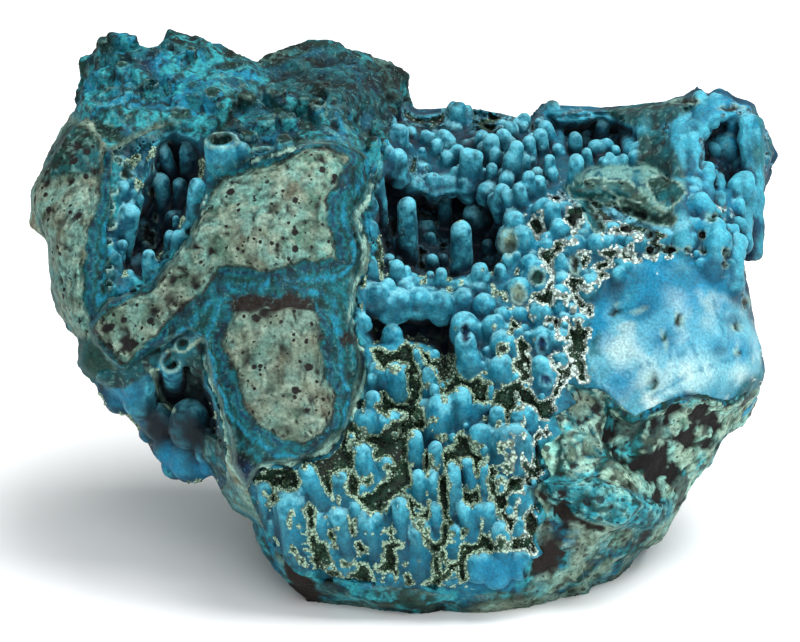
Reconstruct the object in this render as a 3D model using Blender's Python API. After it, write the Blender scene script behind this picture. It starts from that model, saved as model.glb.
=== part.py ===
"""Chrysocolla specimen: broken host rock with stalactite-like chrysocolla in its hollows.

The specimen is drawn on its display face, which leans back by LEAN and looks towards -Y.
A place on the face is (across, down) in grid units of GRID metres, from the face's top left corner,
and a depth in metres behind the face's front-most plane. face_to_world turns these into X, Y, Z.
"""
import math

import bmesh
import bpy
import numpy as np
from mathutils import Vector
from mathutils.geometry import delaunay_2d_cdt

# Driving sizes, in metres
WIDTH = 0.120
DEPTH = 0.070
LEAN = math.radians(20)
CRUST_THICKNESS = 0.0026
GAP = 0.0003
MM = 0.001

# How fingers and mounds sit on the face: a finger's forward lean for its rise, then shares of a radius
FINGER_LEAN = 0.55
TIP_PROUD = 0.35
ROOT_SUNK = 0.5
MOUND_SUNK = 0.35
MOUND_SWELL = 1.08

# The grid that the outlines are drawn on: the specimen is 750 units wide
GRID = WIDTH / 750
MIDDLE_ACROSS = 402.4
BASE_DOWN = 618
CENTRE = (400, 330)
BASE_DEPTH = 0.012
BEHIND_ORIGIN = 0.04924

# The back: how square it is across, how soon it reaches its full depth, and the rough relief over it all
BACK_SQUARE = 0.62
BACK_FULL = 0.8
RELIEF_GRAIN = 0.014
RELIEF_HEIGHT = 0.0024
DEEPEST = 60

# How finely the first shape is drawn before it is fused and thinned
SPOKES = 260
FACE_RINGS = 60
BACK_RINGS = 20
KEEP_TRIANGLES = 4200
CLEAN_SHARE = 0.8
BED_STEP = 36
BED_REACH = 23
BED_CLEAR = 14
IN_FRONT = 0.02
BLOCK = 0.4

SILHOUETTE = [
    (77, 100), (79, 62), (88, 46), (94, 33), (112, 22), (127, 24), (142, 36), (150, 45), (162, 40), (168, 29),
    (184, 34), (205, 42), (226, 55), (260, 64), (280, 57), (310, 47), (337, 40), (352, 49), (368, 63), (385, 66),
    (398, 75), (401, 95), (410, 112), (430, 111), (450, 109), (480, 113), (510, 119), (531, 123), (544, 106),
    (580, 107), (616, 106), (660, 101), (690, 94), (701, 85), (711, 92), (722, 89), (737, 98), (755, 105),
    (765, 125), (777, 152), (768, 177), (759, 205), (757, 228), (747, 246), (753, 270), (759, 325), (762, 372),
    (758, 400), (745, 425), (725, 440), (714, 462), (693, 480), (682, 500), (670, 524), (659, 543), (642, 553),
    (622, 580), (585, 594), (562, 596), (530, 612), (500, 616), (462, 618), (440, 611), (410, 618), (388, 614),
    (340, 604), (308, 598), (290, 582), (275, 565), (257, 540), (252, 522), (232, 512), (222, 495), (213, 476),
    (190, 481), (174, 473), (155, 450), (140, 430), (125, 411), (104, 385), (79, 366), (80, 338), (55, 313),
    (47, 290), (45, 240), (30, 226), (27, 190), (40, 168), (56, 133), (68, 118),
]

# Depth of the face, in mm behind its front-most plane, at marks chosen by hand: (across, down, depth)
FACE_MARKS = [
    (285, 370, 5), (285, 430, 4), (240, 340, 6.5), (320, 330, 7), (270, 220, 9.5), (335, 170, 14), (300, 240, 10),
    (210, 250, 12), (130, 330, 15), (235, 190, 14), (362, 200, 17), (362, 250, 16), (355, 300, 13), (358, 360, 10),
    (350, 420, 7), (225, 400, 7), (235, 470, 8), (250, 510, 13), (265, 545, 15), (290, 480, 4), (300, 530, 6),
    (300, 585, 14), (345, 540, 5), (400, 500, 6), (350, 598, 13), (430, 560, 7), (430, 610, 12), (500, 560, 7),
    (530, 605, 15), (500, 455, 6), (440, 400, 10), (400, 400, 11), (500, 380, 11), (400, 345, 13), (440, 340, 14),
    (420, 300, 19), (390, 280, 19), (470, 300, 20), (500, 300, 19), (505, 340, 14), (430, 250, 25), (400, 200, 30),
    (430, 190, 38), (480, 210, 33), (430, 150, 46), (410, 120, 53), (450, 115, 55), (500, 125, 54), (490, 165, 42),
    (520, 190, 33), (530, 240, 26), (550, 290, 20), (560, 340, 16), (560, 200, 31), (600, 240, 25), (620, 200, 33),
    (660, 200, 31), (645, 165, 38), (600, 165, 40), (560, 150, 44), (560, 108, 52), (615, 108, 51), (680, 100, 46),
    (650, 130, 44), (720, 95, 42), (700, 150, 34), (690, 220, 25), (730, 220, 29), (762, 150, 44), (755, 220, 38),
    (740, 270, 24), (758, 320, 27), (700, 300, 17), (640, 320, 15), (600, 350, 15), (680, 360, 13), (750, 370, 22),
    (640, 405, 12), (700, 395, 14), (600, 410, 13), (560, 430, 11), (560, 500, 10), (620, 470, 12), (640, 510, 12),
    (700, 430, 18), (745, 420, 29), (690, 480, 24), (655, 540, 22), (590, 550, 12), (600, 590, 20), (550, 580, 13),
    (65, 230, 19), (35, 200, 26), (50, 290, 23), (60, 320, 24), (85, 300, 17), (75, 150, 26), (95, 130, 28),
    (95, 200, 20), (100, 370, 17), (140, 400, 18), (110, 395, 22), (170, 430, 20), (160, 465, 27), (210, 470, 18),
    (205, 380, 9), (150, 360, 13), (140, 300, 15), (120, 250, 20), (150, 200, 23), (180, 160, 25), (190, 220, 14),
    (170, 120, 28), (120, 90, 34), (85, 90, 38), (90, 50, 42), (120, 30, 43), (170, 60, 39), (220, 110, 27),
    (240, 70, 42), (270, 130, 22), (300, 100, 33), (330, 130, 21), (350, 100, 37), (320, 60, 50), (385, 80, 54),
    (370, 120, 42), (368, 160, 22),
]

# Ledges and hollows: (outline, depth added inside it in mm, width of its wall in grid units)
Y_CLAST = [
    (222, 183), (248, 174), (280, 166), (310, 152), (350, 160), (342, 180), (327, 200), (325, 220), (335, 258),
    (292, 262), (262, 270), (220, 265), (210, 280), (182, 305), (160, 335), (125, 358), (98, 330), (112, 312),
    (160, 287), (193, 245), (200, 225), (215, 200),
]
SHIELD_CLAST = [
    (240, 303), (300, 303), (321, 312), (322, 345), (323, 378), (333, 395), (326, 428), (307, 440), (282, 437),
    (258, 420), (235, 375), (225, 340),
]
LEFT_SLAB = [
    (27, 190), (40, 168), (66, 128), (84, 118), (104, 143), (97, 180), (86, 235), (83, 300), (92, 338), (55, 315),
    (45, 265), (45, 240),
]
CENTRE_POCKET = [
    (366, 185), (385, 175), (430, 185), (480, 185), (505, 215), (512, 250), (500, 286), (470, 290), (435, 290),
    (400, 280), (368, 284), (366, 250),
]
LOWER_CAVITY = [
    (364, 304), (400, 312), (450, 322), (458, 345), (448, 380), (432, 384), (424, 356), (400, 346), (364, 346),
]
LEFT_POCKET = [
    (150, 138), (170, 128), (200, 145), (212, 172), (200, 205), (190, 230), (172, 262), (150, 284), (122, 285),
    (108, 255), (112, 220), (128, 200), (140, 178),
]
UPPER_RIGHT_POCKET = [
    (548, 114), (575, 112), (612, 114), (640, 126), (645, 148), (620, 166), (590, 168), (562, 160),
]
LOBE_POCKET = [(698, 122), (745, 120), (748, 150), (735, 188), (705, 190), (690, 160)]
LOWER_LEFT_HOLLOW = [
    (140, 378), (170, 352), (200, 342), (210, 380), (226, 420), (226, 452), (200, 440), (172, 415), (150, 402),
]
LEDGE_RECESS = [
    (600, 398), (632, 420), (660, 406), (690, 398), (730, 404), (775, 388), (775, 520), (660, 620), (600, 620),
    (570, 560), (640, 500), (600, 440),
]
TURQUOISE_SLAB = [
    (535, 475), (600, 478), (640, 495), (675, 500), (672, 518), (650, 530), (585, 520), (545, 500),
]
CREST = [
    (560, 187), (590, 165), (645, 166), (684, 185), (675, 210), (660, 224), (617, 198), (580, 200),
]
PLATEAU = [
    (205, 168), (232, 152), (300, 142), (350, 142), (370, 160), (369, 195), (358, 212), (362, 250), (353, 290),
    (355, 328), (363, 360), (360, 395), (346, 430), (325, 448), (298, 461), (262, 466), (247, 486), (231, 462),
    (226, 415), (212, 380), (205, 345), (188, 334), (150, 354), (122, 372), (96, 346), (92, 325), (110, 300),
    (155, 284), (184, 250), (196, 225), (203, 195),
]
LEDGES = [
    (PLATEAU, -3.6, 7), (Y_CLAST, -0.9, 3), (SHIELD_CLAST, -0.9, 3), (LEFT_SLAB, -1.5, 6), (CENTRE_POCKET, 15, 16),
    (LOWER_CAVITY, 13, 14), (LEFT_POCKET, 11, 18), (UPPER_RIGHT_POCKET, 10, 16), (LOBE_POCKET, 5, 14),
    (LOWER_LEFT_HOLLOW, 9, 14), (LEDGE_RECESS, 3.5, 8), (TURQUOISE_SLAB, -2.5, 7), (CREST, -2.5, 8),
]

# Flat breaks on the back: (across, down, depth in mm, outward direction across, up and back)
CHIPS = [
    (400, 330, 65, (0.10, 0.02, 1.0)),
    (700, 300, 68, (0.74, 0.08, 0.66)),
    (110, 300, 57, (-0.72, 0.10, 0.68)),
    (320, 90, 67, (-0.10, 0.62, 0.78)),
    (150, 110, 61, (-0.48, 0.42, 0.77)),
    (680, 150, 62, (0.40, 0.42, 0.81)),
    (190, 470, 42, (-0.66, -0.40, 0.63)),
    (660, 500, 50, (0.72, -0.36, 0.60)),
]

# Where the crusts cover the rock
FRONT_CRUST = [
    (374, 188), (384, 150), (392, 120), (400, 98), (440, 96), (535, 104), (548, 94), (640, 92), (700, 70),
    (760, 80), (795, 150), (780, 250), (780, 340), (764, 386), (730, 400), (695, 396), (660, 402), (632, 416),
    (600, 388), (560, 384), (546, 420), (538, 470), (540, 520), (528, 584), (470, 596), (400, 588), (340, 578),
    (296, 572), (270, 545), (256, 510), (248, 486), (262, 466), (298, 463), (328, 448), (354, 422), (364, 395),
    (364, 358), (354, 328), (354, 292), (364, 275), (368, 240), (366, 215),
]
LEFT_POCKET_CRUST = [
    (140, 134), (170, 124), (206, 138), (240, 128), (254, 160), (220, 178), (204, 208), (192, 238), (166, 268),
    (156, 284), (128, 296), (108, 300), (104, 250), (106, 210), (110, 150),
]
LOWER_LEFT_CRUST = [
    (96, 372), (126, 364), (152, 352), (186, 330), (202, 334), (208, 372), (222, 410), (228, 450), (228, 478),
    (214, 500), (180, 500), (130, 440), (90, 392),
]

# Fingers: (tip across, tip down, root across, root down, radius), in grid units
FINGERS = [
    (162, 142, 175, 190, 8), (160, 172, 165, 210, 9), (188, 141, 190, 185, 9), (197, 177, 195, 212, 8),
    (130, 203, 122, 250, 10), (149, 249, 150, 275, 7), (222, 97, 228, 132, 9), (407, 196, 408, 262, 10),
    (461, 220, 462, 275, 11), (445, 190, 446, 225, 7), (428, 218, 430, 235, 7), (475, 201, 480, 240, 12),
    (400, 122, 401, 150, 9), (432, 130, 434, 150, 8), (467, 146, 468, 185, 8), (476, 148, 473, 185, 8),
    (492, 132, 495, 165, 9), (517, 139, 515, 180, 8), (530, 134, 532, 165, 7), (577, 153, 575, 185, 8),
    (547, 118, 553, 145, 8), (489, 182, 492, 205, 7), (509, 188, 512, 210, 8), (519, 182, 524, 210, 7),
    (409, 175, 410, 195, 10), (515, 210, 515, 235, 10), (523, 225, 526, 250, 11), (552, 200, 555, 225, 8),
    (388, 277, 388, 300, 8), (370, 256, 372, 275, 7), (395, 362, 396, 385, 10), (430, 365, 430, 390, 8),
    (373, 389, 375, 420, 8), (362, 442, 367, 475, 9), (415, 428, 416, 458, 8), (440, 393, 438, 428, 13),
    (460, 385, 462, 415, 11), (418, 468, 420, 500, 7), (453, 461, 456, 508, 7), (463, 500, 470, 530, 7),
    (290, 488, 300, 560, 13), (338, 508, 347, 545, 8), (366, 507, 378, 562, 9), (400, 495, 405, 555, 9),
    (418, 515, 420, 560, 11), (307, 462, 320, 497, 9), (265, 480, 268, 515, 7), (497, 405, 495, 425, 8),
    (540, 355, 541, 380, 10), (340, 470, 342, 495, 8), (529, 170, 531, 200, 7), (465, 330, 467, 360, 11),
    (480, 262, 482, 290, 9), (500, 520, 502, 550, 9),
]

# Rounded mounds: (across, down, radius), in grid units
MOUNDS = [
    (365, 425, 12), (388, 428, 12), (347, 562, 12), (405, 293, 10), (480, 295, 10), (510, 245, 11), (518, 295, 11),
    (392, 340, 11), (510, 455, 22), (470, 365, 11), (503, 350, 13), (500, 375, 13), (478, 568, 13), (496, 573, 14),
    (518, 566, 12), (390, 310, 14), (160, 425, 15), (190, 428, 20), (150, 400, 13), (118, 398, 12),
    (180, 455, 15), (702, 92, 10), (480, 440, 12), (540, 320, 12), (560, 300, 11), (600, 260, 12), (640, 260, 12),
    (575, 250, 11), (690, 250, 12), (720, 270, 12), (700, 210, 12), (730, 150, 13), (755, 130, 12), (745, 190, 13),
    (590, 290, 12), (530, 270, 11), (520, 420, 11), (520, 500, 12), (560, 345, 11),
]

PIECES = {
    "host_rock": ((0.30, 0.36, 0.31), 0.85),
    "front_crust": ((0.06, 0.38, 0.60), 0.5),
    "left_pocket_crust": ((0.06, 0.34, 0.55), 0.5),
    "lower_left_crust": ((0.04, 0.27, 0.46), 0.5),
}


def face_to_world(across, down, depth):
    """X, Y, Z of places on the leaning face; depth is in metres behind the front-most plane."""
    up = (BASE_DOWN - down) * GRID
    base_height = -BASE_DEPTH * math.sin(LEAN)
    x = (across - MIDDLE_ACROSS) * GRID
    y = up * math.sin(LEAN) + depth * math.cos(LEAN) - BEHIND_ORIGIN
    z = up * math.cos(LEAN) - depth * math.sin(LEAN) - base_height
    return np.stack([x, y, z], axis=-1)


def face_direction(across, up, back):
    """A direction given across, up and back from the display face, in X, Y, Z."""
    return Vector((across, up * math.sin(LEAN) + back * math.cos(LEAN),
                   up * math.cos(LEAN) - back * math.sin(LEAN))).normalized()


def distance_inside(across, down, outline):
    """Distance from each place to the outline, in grid units: positive inside it, negative outside."""
    corners = np.array(outline, float)
    place = np.stack([np.ravel(across), np.ravel(down)], axis=-1).astype(float)
    nearest = np.full(len(place), 1e9)
    inside = np.zeros(len(place), bool)
    for start, end in zip(corners, np.roll(corners, -1, axis=0)):
        edge = end - start
        along = np.clip((place - start) @ edge / (edge @ edge), 0, 1)
        nearest = np.minimum(nearest, np.hypot(*(place - start - along[:, None] * edge).T))
        crosses = (start[1] > place[:, 1]) != (end[1] > place[:, 1])
        if start[1] != end[1]:
            meets = start[0] + (place[:, 1] - start[1]) * edge[0] / edge[1]
            inside ^= crosses & (place[:, 0] < meets)
    return np.where(inside, nearest, -nearest).reshape(np.shape(across))


def smooth_step(value):
    """0 below 0, 1 above 1, and a smooth rise between."""
    value = np.clip(value, 0, 1)
    return value * value * (3 - 2 * value)


class Envelope:
    """A smooth surface through the face's depth marks."""

    SOFTNESS = 25

    def __init__(self, marks):
        self.marks = np.array(marks, float)
        spread = self.kernel(self.marks[:, 0], self.marks[:, 1])
        self.mean = self.marks[:, 2].mean()
        self.weights = np.linalg.solve(spread, self.marks[:, 2] - self.mean)

    def kernel(self, across, down):
        reach = np.hypot(across[..., None] - self.marks[:, 0], down[..., None] - self.marks[:, 1])
        return np.sqrt(reach ** 2 + self.SOFTNESS ** 2)

    def __call__(self, across, down):
        return self.mean + self.kernel(np.asarray(across, float), np.asarray(down, float)) @ self.weights


ENVELOPE = Envelope(FACE_MARKS)
SHOULDER = 14
SHOULDER_DROP = 4.0


def face_depth(across, down):
    """Depth of the face in metres: the envelope, its ledges and hollows, and a rounded shoulder at the edge."""
    depth = ENVELOPE(across, down)
    for outline, added, wall in LEDGES:
        depth = depth + added * smooth_step(distance_inside(across, down, outline) / wall)
    edge = np.clip(1 - distance_inside(across, down, SILHOUETTE) / SHOULDER, 0, 1)
    return np.clip(depth + SHOULDER_DROP * edge ** 2, 0, DEEPEST) * MM


def silhouette_reach(angles):
    """Distance from CENTRE to the silhouette along each angle, in grid units."""
    corners = np.array(SILHOUETTE, float)
    edges = np.roll(corners, -1, axis=0) - corners
    dense = np.concatenate([corners + edges * part for part in (0, 0.25, 0.5, 0.75)])
    across = dense[:, 0] - CENTRE[0]
    down = dense[:, 1] - CENTRE[1]
    order = np.argsort(np.arctan2(down, across))
    turn = np.arctan2(down, across)[order]
    return np.interp(angles, turn, np.hypot(across, down)[order], period=math.tau)


def chipped(points):
    """Points pushed in to the flat breaks that they stand proud of."""
    for across, down, depth, outward in CHIPS:
        normal = np.array(face_direction(*outward))
        proud = (points - face_to_world(across, down, depth * MM)) @ normal
        points = points - np.maximum(proud, 0)[..., None] * normal
    return points


def whole_lump():
    """The closed lump of rock and crust: rings over the face, then round the edge and over the back."""
    angles = np.arange(SPOKES) / SPOKES * math.tau - math.pi
    reach = silhouette_reach(angles)
    rings = []
    for share in np.linspace(0, 1, FACE_RINGS + 1)[1:]:
        across = CENTRE[0] + share * reach * np.cos(angles)
        down = CENTRE[1] + share * reach * np.sin(angles)
        rings.append(face_to_world(across, down, face_depth(across, down)))
    edge_depth = face_depth(across, down)
    for turn in np.linspace(0, math.pi / 2, BACK_RINGS + 1)[1:-1]:
        share = math.cos(turn) ** BACK_SQUARE
        across = CENTRE[0] + share * reach * np.cos(angles)
        down = CENTRE[1] + share * reach * np.sin(angles)
        depth = edge_depth + (DEPTH - edge_depth) * math.sin(turn) ** BACK_FULL
        rings.append(chipped(face_to_world(across, down, depth)))
    middle = np.array([CENTRE[0]], float), np.array([CENTRE[1]], float)
    front = face_to_world(*middle, face_depth(*middle))[0]
    back = chipped(face_to_world(*middle, np.array([DEPTH])))[0]
    bm = bmesh.new()
    front_pole = bm.verts.new(front)
    loops = [[bm.verts.new(point) for point in ring] for ring in rings]
    back_pole = bm.verts.new(back)
    for index in range(SPOKES):
        after = (index + 1) % SPOKES
        bm.faces.new((front_pole, loops[0][index], loops[0][after]))
        bm.faces.new((back_pole, loops[-1][after], loops[-1][index]))
        for inner, outer in zip(loops, loops[1:]):
            bm.faces.new((inner[index], outer[index], outer[after], inner[after]))
    bmesh.ops.recalc_face_normals(bm, faces=bm.faces)
    return new_object("lump", bm)


def finger(tip_across, tip_down, root_across, root_down, radius):
    """A blunt finger that leans out of the face as it rises, and stands proud of it where the face is near."""
    root_face, tip_face = face_depth(np.array([root_across, tip_across]), np.array([root_down, tip_down + radius]))
    leaning = root_face - FINGER_LEAN * (root_down - tip_down) * GRID + radius * GRID
    tip_depth = min(leaning, tip_face - TIP_PROUD * radius * GRID)
    tip = Vector(face_to_world(tip_across, tip_down + radius, tip_depth))
    root = Vector(face_to_world(root_across, root_down, root_face + ROOT_SUNK * radius * GRID))
    axis = (tip - root).normalized()
    root -= axis * radius * GRID
    turn = axis.to_track_quat("Z", "Y").to_matrix().to_4x4()
    turn.translation = tip
    bm = bmesh.new()
    bmesh.ops.create_uvsphere(bm, u_segments=6, v_segments=4, radius=radius * GRID, matrix=turn)
    for vert in bm.verts:
        if (vert.co - tip).dot(axis) < 0:
            vert.co += root - tip
    return new_object("finger", bm)


def mound(across, down, radius):
    """A rounded mound, half sunk in the face."""
    depth = face_depth(np.array([across]), np.array([down]))[0]
    centre = Vector(face_to_world(across, down, depth + MOUND_SUNK * radius * GRID))
    bm = bmesh.new()
    bmesh.ops.create_icosphere(bm, subdivisions=1, radius=radius * GRID * MOUND_SWELL)
    bmesh.ops.translate(bm, verts=bm.verts, vec=centre)
    return new_object("mound", bm)


def new_object(name, bm):
    """Puts a bmesh in the scene as an object."""
    mesh = bpy.data.meshes.new(name)
    bm.to_mesh(mesh)
    bm.free()
    made = bpy.data.objects.new(name, mesh)
    bpy.context.scene.collection.objects.link(made)
    return made


def bake(target):
    """Replaces an object's mesh by its evaluated one and clears its modifiers."""
    graph = bpy.context.evaluated_depsgraph_get()
    mesh = bpy.data.meshes.new_from_object(target.evaluated_get(graph))
    target.modifiers.clear()
    target.data = mesh


def roughen(target):
    """Roughens a surface with broken relief of one grain."""
    clouds = bpy.data.textures.new("relief", "CLOUDS")
    clouds.noise_scale = RELIEF_GRAIN
    clouds.noise_depth = 2
    rough = target.modifiers.new("relief", "DISPLACE")
    rough.texture = clouds
    rough.texture_coords = "GLOBAL"
    rough.strength = RELIEF_HEIGHT
    bake(target)


def cut(target, cutter, operation="DIFFERENCE"):
    """Joins or cuts a closed solid with another, which is used up; the fused surface stays closed."""
    boolean = target.modifiers.new("cut", "BOOLEAN")
    boolean.operation = operation
    boolean.solver = "MANIFOLD"
    boolean.object = cutter
    bake(target)
    bpy.data.objects.remove(cutter)


def keep_largest(target):
    """Drops loose chips that a cut leaves beside the main body."""
    bm = bmesh.new()
    bm.from_mesh(target.data)
    left = set(bm.faces)
    bodies = []
    while left:
        waiting = [left.pop()]
        body = set(waiting)
        while waiting:
            for edge in waiting.pop().edges:
                for face in edge.link_faces if len(edge.link_faces) == 2 else ():
                    if face in left:
                        left.discard(face)
                        body.add(face)
                        waiting.append(face)
        bodies.append(body)
    largest = max(bodies, key=len)
    loose = [face for face in bm.faces if face not in largest]
    bmesh.ops.delete(bm, geom=loose, context="FACES")
    bmesh.ops.triangulate(bm, faces=bm.faces)
    bm.to_mesh(target.data)
    bm.free()
    clean = target.modifiers.new("clean", "DECIMATE")
    clean.ratio = CLEAN_SHARE
    bake(target)


def bed_depth(across, down):
    """Depth of the rock under a crust, in metres: behind the deepest face within BED_REACH, so it never shows."""
    deepest = face_depth(across, down)
    for turn in np.arange(8) / 8 * math.tau:
        aside = across + BED_REACH * math.cos(turn)
        below = down + BED_REACH * math.sin(turn)
        deepest = np.maximum(deepest, face_depth(aside, below))
    return deepest + CRUST_THICKNESS


def bed_steepness(across, down):
    """How much longer the bed is than its flat picture, at each place: 1 where it is level with the face."""
    span = BED_STEP / 2
    slope_across = bed_depth(across + span, down) - bed_depth(across - span, down)
    slope_down = bed_depth(across, down + span) - bed_depth(across, down - span)
    return np.sqrt(1 + (slope_across ** 2 + slope_down ** 2) / (2 * span * GRID) ** 2)


def inset(corners, distance):
    """A closed outline's corners moved inwards by a distance in grid units."""
    before = corners - np.roll(corners, 1, axis=0)
    after = np.roll(corners, -1, axis=0) - corners
    tangent = before / np.hypot(*before.T)[:, None] + after / np.hypot(*after.T)[:, None]
    tangent /= np.hypot(*tangent.T)[:, None]
    turns = np.sum(corners[:, 0] * before[:, 1] - corners[:, 1] * before[:, 0])
    inwards = np.stack([-tangent[:, 1], tangent[:, 0]], axis=-1)
    return corners + math.copysign(distance, turns) * inwards


def bed_column(name, outline, gap):
    """The space in front of a crust's bed: a prism of the outline whose far end is the bed, less a gap."""
    corners = np.array(outline, float)
    low = np.floor(corners.min(axis=0))
    high = corners.max(axis=0)
    grid = np.stack(np.meshgrid(np.arange(low[0], high[0], BED_STEP), np.arange(low[1], high[1], BED_STEP)), -1)
    grid = grid.reshape(-1, 2)
    grid = grid[distance_inside(grid[:, 0], grid[:, 1], outline) > BED_CLEAR]
    spots = [Vector(spot) for spot in np.concatenate([corners, grid])]
    ring = [(index, (index + 1) % len(corners)) for index in range(len(corners))]
    flat, _, faces, _, _, _ = delaunay_2d_cdt(spots, ring, [list(range(len(corners)))], 1, 1e-6)
    place = np.array([tuple(spot) for spot in flat])
    back_off = gap * bed_steepness(*place.T)
    back_off[:len(corners)] *= 2
    depth = bed_depth(*place.T) - back_off
    place[:len(corners)] = inset(corners, gap / GRID)
    bm = bmesh.new()
    far = [bm.verts.new(point) for point in face_to_world(*place.T, depth)]
    near = [bm.verts.new(point) for point in face_to_world(*place.T, np.full(len(place), -IN_FRONT))]
    for face in faces:
        bm.faces.new([far[index] for index in face])
        bm.faces.new([near[index] for index in reversed(face)])
    for start, end in ring:
        bm.faces.new((far[start], near[start], near[end], far[end]))
    bmesh.ops.recalc_face_normals(bm, faces=bm.faces)
    column = new_object(name, bm)
    column.hide_render = True
    column.display_type = "WIRE"
    return column


def box_below(height):
    """A large block whose top is at a height."""
    bm = bmesh.new()
    bmesh.ops.create_cube(bm, size=BLOCK)
    bmesh.ops.translate(bm, verts=bm.verts, vec=(0, 0, height - BLOCK / 2))
    block = new_object("ground_block", bm)
    block.hide_render = True
    block.display_type = "WIRE"
    return block


def build_lump():
    """Rock and crust as one surface, thinned, with its fingers and mounds, and cut off flat at the base."""
    lump = whole_lump()
    roughen(lump)
    thin = lump.modifiers.new("thin", "DECIMATE")
    triangles = sum(len(face.vertices) - 2 for face in lump.data.polygons)
    thin.ratio = KEEP_TRIANGLES / triangles
    bake(lump)
    for place in FINGERS:
        cut(lump, finger(*place), "UNION")
    for place in MOUNDS:
        cut(lump, mound(*place), "UNION")
    cut(lump, box_below(0.0))
    return lump


def part_crusts(lump):
    """Parts the lump into the rock and its crusts, with a fine gap between them."""
    outlines = {
        "front_crust": FRONT_CRUST,
        "left_pocket_crust": LEFT_POCKET_CRUST,
        "lower_left_crust": LOWER_LEFT_CRUST,
    }
    rock = lump.copy()
    rock.data = lump.data.copy()
    rock.name = "host_rock"
    bpy.context.scene.collection.objects.link(rock)
    made = [rock]
    for name, outline in outlines.items():
        cut(rock, bed_column("outer_column", outline, 0.0))
        crust = lump.copy()
        crust.data = lump.data.copy()
        crust.name = name
        bpy.context.scene.collection.objects.link(crust)
        cut(crust, bed_column("inner_column", outline, GAP), "INTERSECT")
        made.append(crust)
    bpy.data.objects.remove(lump)
    for piece in made:
        keep_largest(piece)
    return made


def colour(piece):
    """Gives a piece its own Principled material."""
    tint, roughness = PIECES[piece.name]
    finish = bpy.data.materials.new(piece.name)
    finish.use_nodes = True
    shader = finish.node_tree.nodes["Principled BSDF"]
    shader.inputs["Base Color"].default_value = (*tint, 1)
    shader.inputs["Roughness"].default_value = roughness
    piece.data.materials.clear()
    piece.data.materials.append(finish)


def main():
    for old in list(bpy.data.objects):
        bpy.data.objects.remove(old)
    for piece in part_crusts(build_lump()):
        colour(piece)


main()
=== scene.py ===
"""The look of the chrysocolla specimen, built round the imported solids.

Places are drawn on the display face, which leans back by LEAN: (across, down) in grid units of GRID
metres from the face's top left corner, and a depth behind the face's front-most plane. The relief is a
volume of distances on a fine grid: the face's depth, the broken back, and the fingers and mounds that
grow on it. It is meshed once for the rock and once for each crust, and then roughened and coloured by
rules that read the named outlines.
"""
import math

import bmesh
import bpy
import numpy as np
import openvdb
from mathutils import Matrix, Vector


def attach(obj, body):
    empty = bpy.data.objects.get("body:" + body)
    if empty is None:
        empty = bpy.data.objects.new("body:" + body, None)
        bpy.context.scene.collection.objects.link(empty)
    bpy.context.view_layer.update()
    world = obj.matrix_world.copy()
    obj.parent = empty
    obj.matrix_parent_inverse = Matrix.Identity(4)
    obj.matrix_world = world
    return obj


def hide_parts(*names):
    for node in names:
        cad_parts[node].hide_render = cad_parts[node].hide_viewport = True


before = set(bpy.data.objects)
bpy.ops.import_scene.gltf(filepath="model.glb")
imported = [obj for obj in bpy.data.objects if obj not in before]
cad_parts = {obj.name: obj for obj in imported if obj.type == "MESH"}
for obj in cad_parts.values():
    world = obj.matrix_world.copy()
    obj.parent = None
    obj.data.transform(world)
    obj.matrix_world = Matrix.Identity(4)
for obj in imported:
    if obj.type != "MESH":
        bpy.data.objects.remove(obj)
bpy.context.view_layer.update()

# Sizes of the specimen, in metres
WIDTH = 0.120
DEPTH = 0.070
LEAN = math.radians(20)
CRUST_THICKNESS = 0.0026
FINGER_LEAN = 0.55
TIP_PROUD = 0.5
ROOT_SUNK = 0.4
MOUND_SUNK = 0.3
STREWN_SUNK = 0.5
MM = 0.001
GRID = WIDTH / 750
MIDDLE_ACROSS = 402.4
BASE_DOWN = 618
CENTRE = (400, 330)
BASE_DEPTH = 0.012
BEHIND_ORIGIN = 0.04924
SHOULDER = 14
SHOULDER_DROP = 4.0
BED_REACH = 0.0030
TALLEST = 0.0787

# The grid of distances
CELL = 0.00033
ACROSS_SPAN = (8, 797)
DOWN_SPAN = (4, 632)
DEPTH_SPAN = (-0.008, 0.073)
BAND = 3
JOIN = 0.0006
FIRM = 2.4
LOOSE = 7.0
LOOSE_DEPTH = 4
FLOOR_DROP = 0.0016
RIM_RISE = 0.00035
RIM_WIDTH = 0.0004
FAR_RIMS = 0.026
FLOOR_WALL = 0.0007
COVER_STEEPNESS = 70
HIDDEN_THINNED = 0.88
MOST_TRIANGLES = 190_000
LEAST_POINTS = 2000

SILHOUETTE = [
    (77, 100), (79, 62), (88, 46), (94, 33), (112, 22), (127, 24), (142, 36), (150, 45), (162, 40),
    (168, 29), (184, 34), (205, 42), (226, 55), (260, 64), (280, 57), (310, 47), (337, 40), (352, 49),
    (368, 63), (385, 66), (398, 75), (401, 95), (410, 112), (430, 111), (450, 109), (480, 113), (510, 119),
    (531, 123), (544, 106), (580, 107), (616, 106), (660, 101), (690, 94), (701, 85), (711, 92), (722, 89),
    (737, 98), (755, 105), (765, 125), (777, 152), (768, 177), (759, 205), (757, 228), (747, 246),
    (753, 270), (759, 325), (762, 372), (758, 400), (745, 425), (725, 440), (714, 462), (693, 480),
    (682, 500), (670, 524), (659, 543), (642, 553), (622, 580), (585, 594), (562, 596), (530, 612),
    (500, 616), (462, 618), (440, 611), (410, 618), (388, 614), (340, 604), (308, 598), (290, 582),
    (275, 565), (257, 540), (252, 522), (232, 512), (222, 495), (213, 476), (190, 481), (174, 473),
    (155, 450), (140, 430), (125, 411), (104, 385), (79, 366), (80, 338), (55, 313), (47, 290), (45, 240),
    (30, 226), (27, 190), (40, 168), (56, 133), (68, 118),
]

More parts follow.
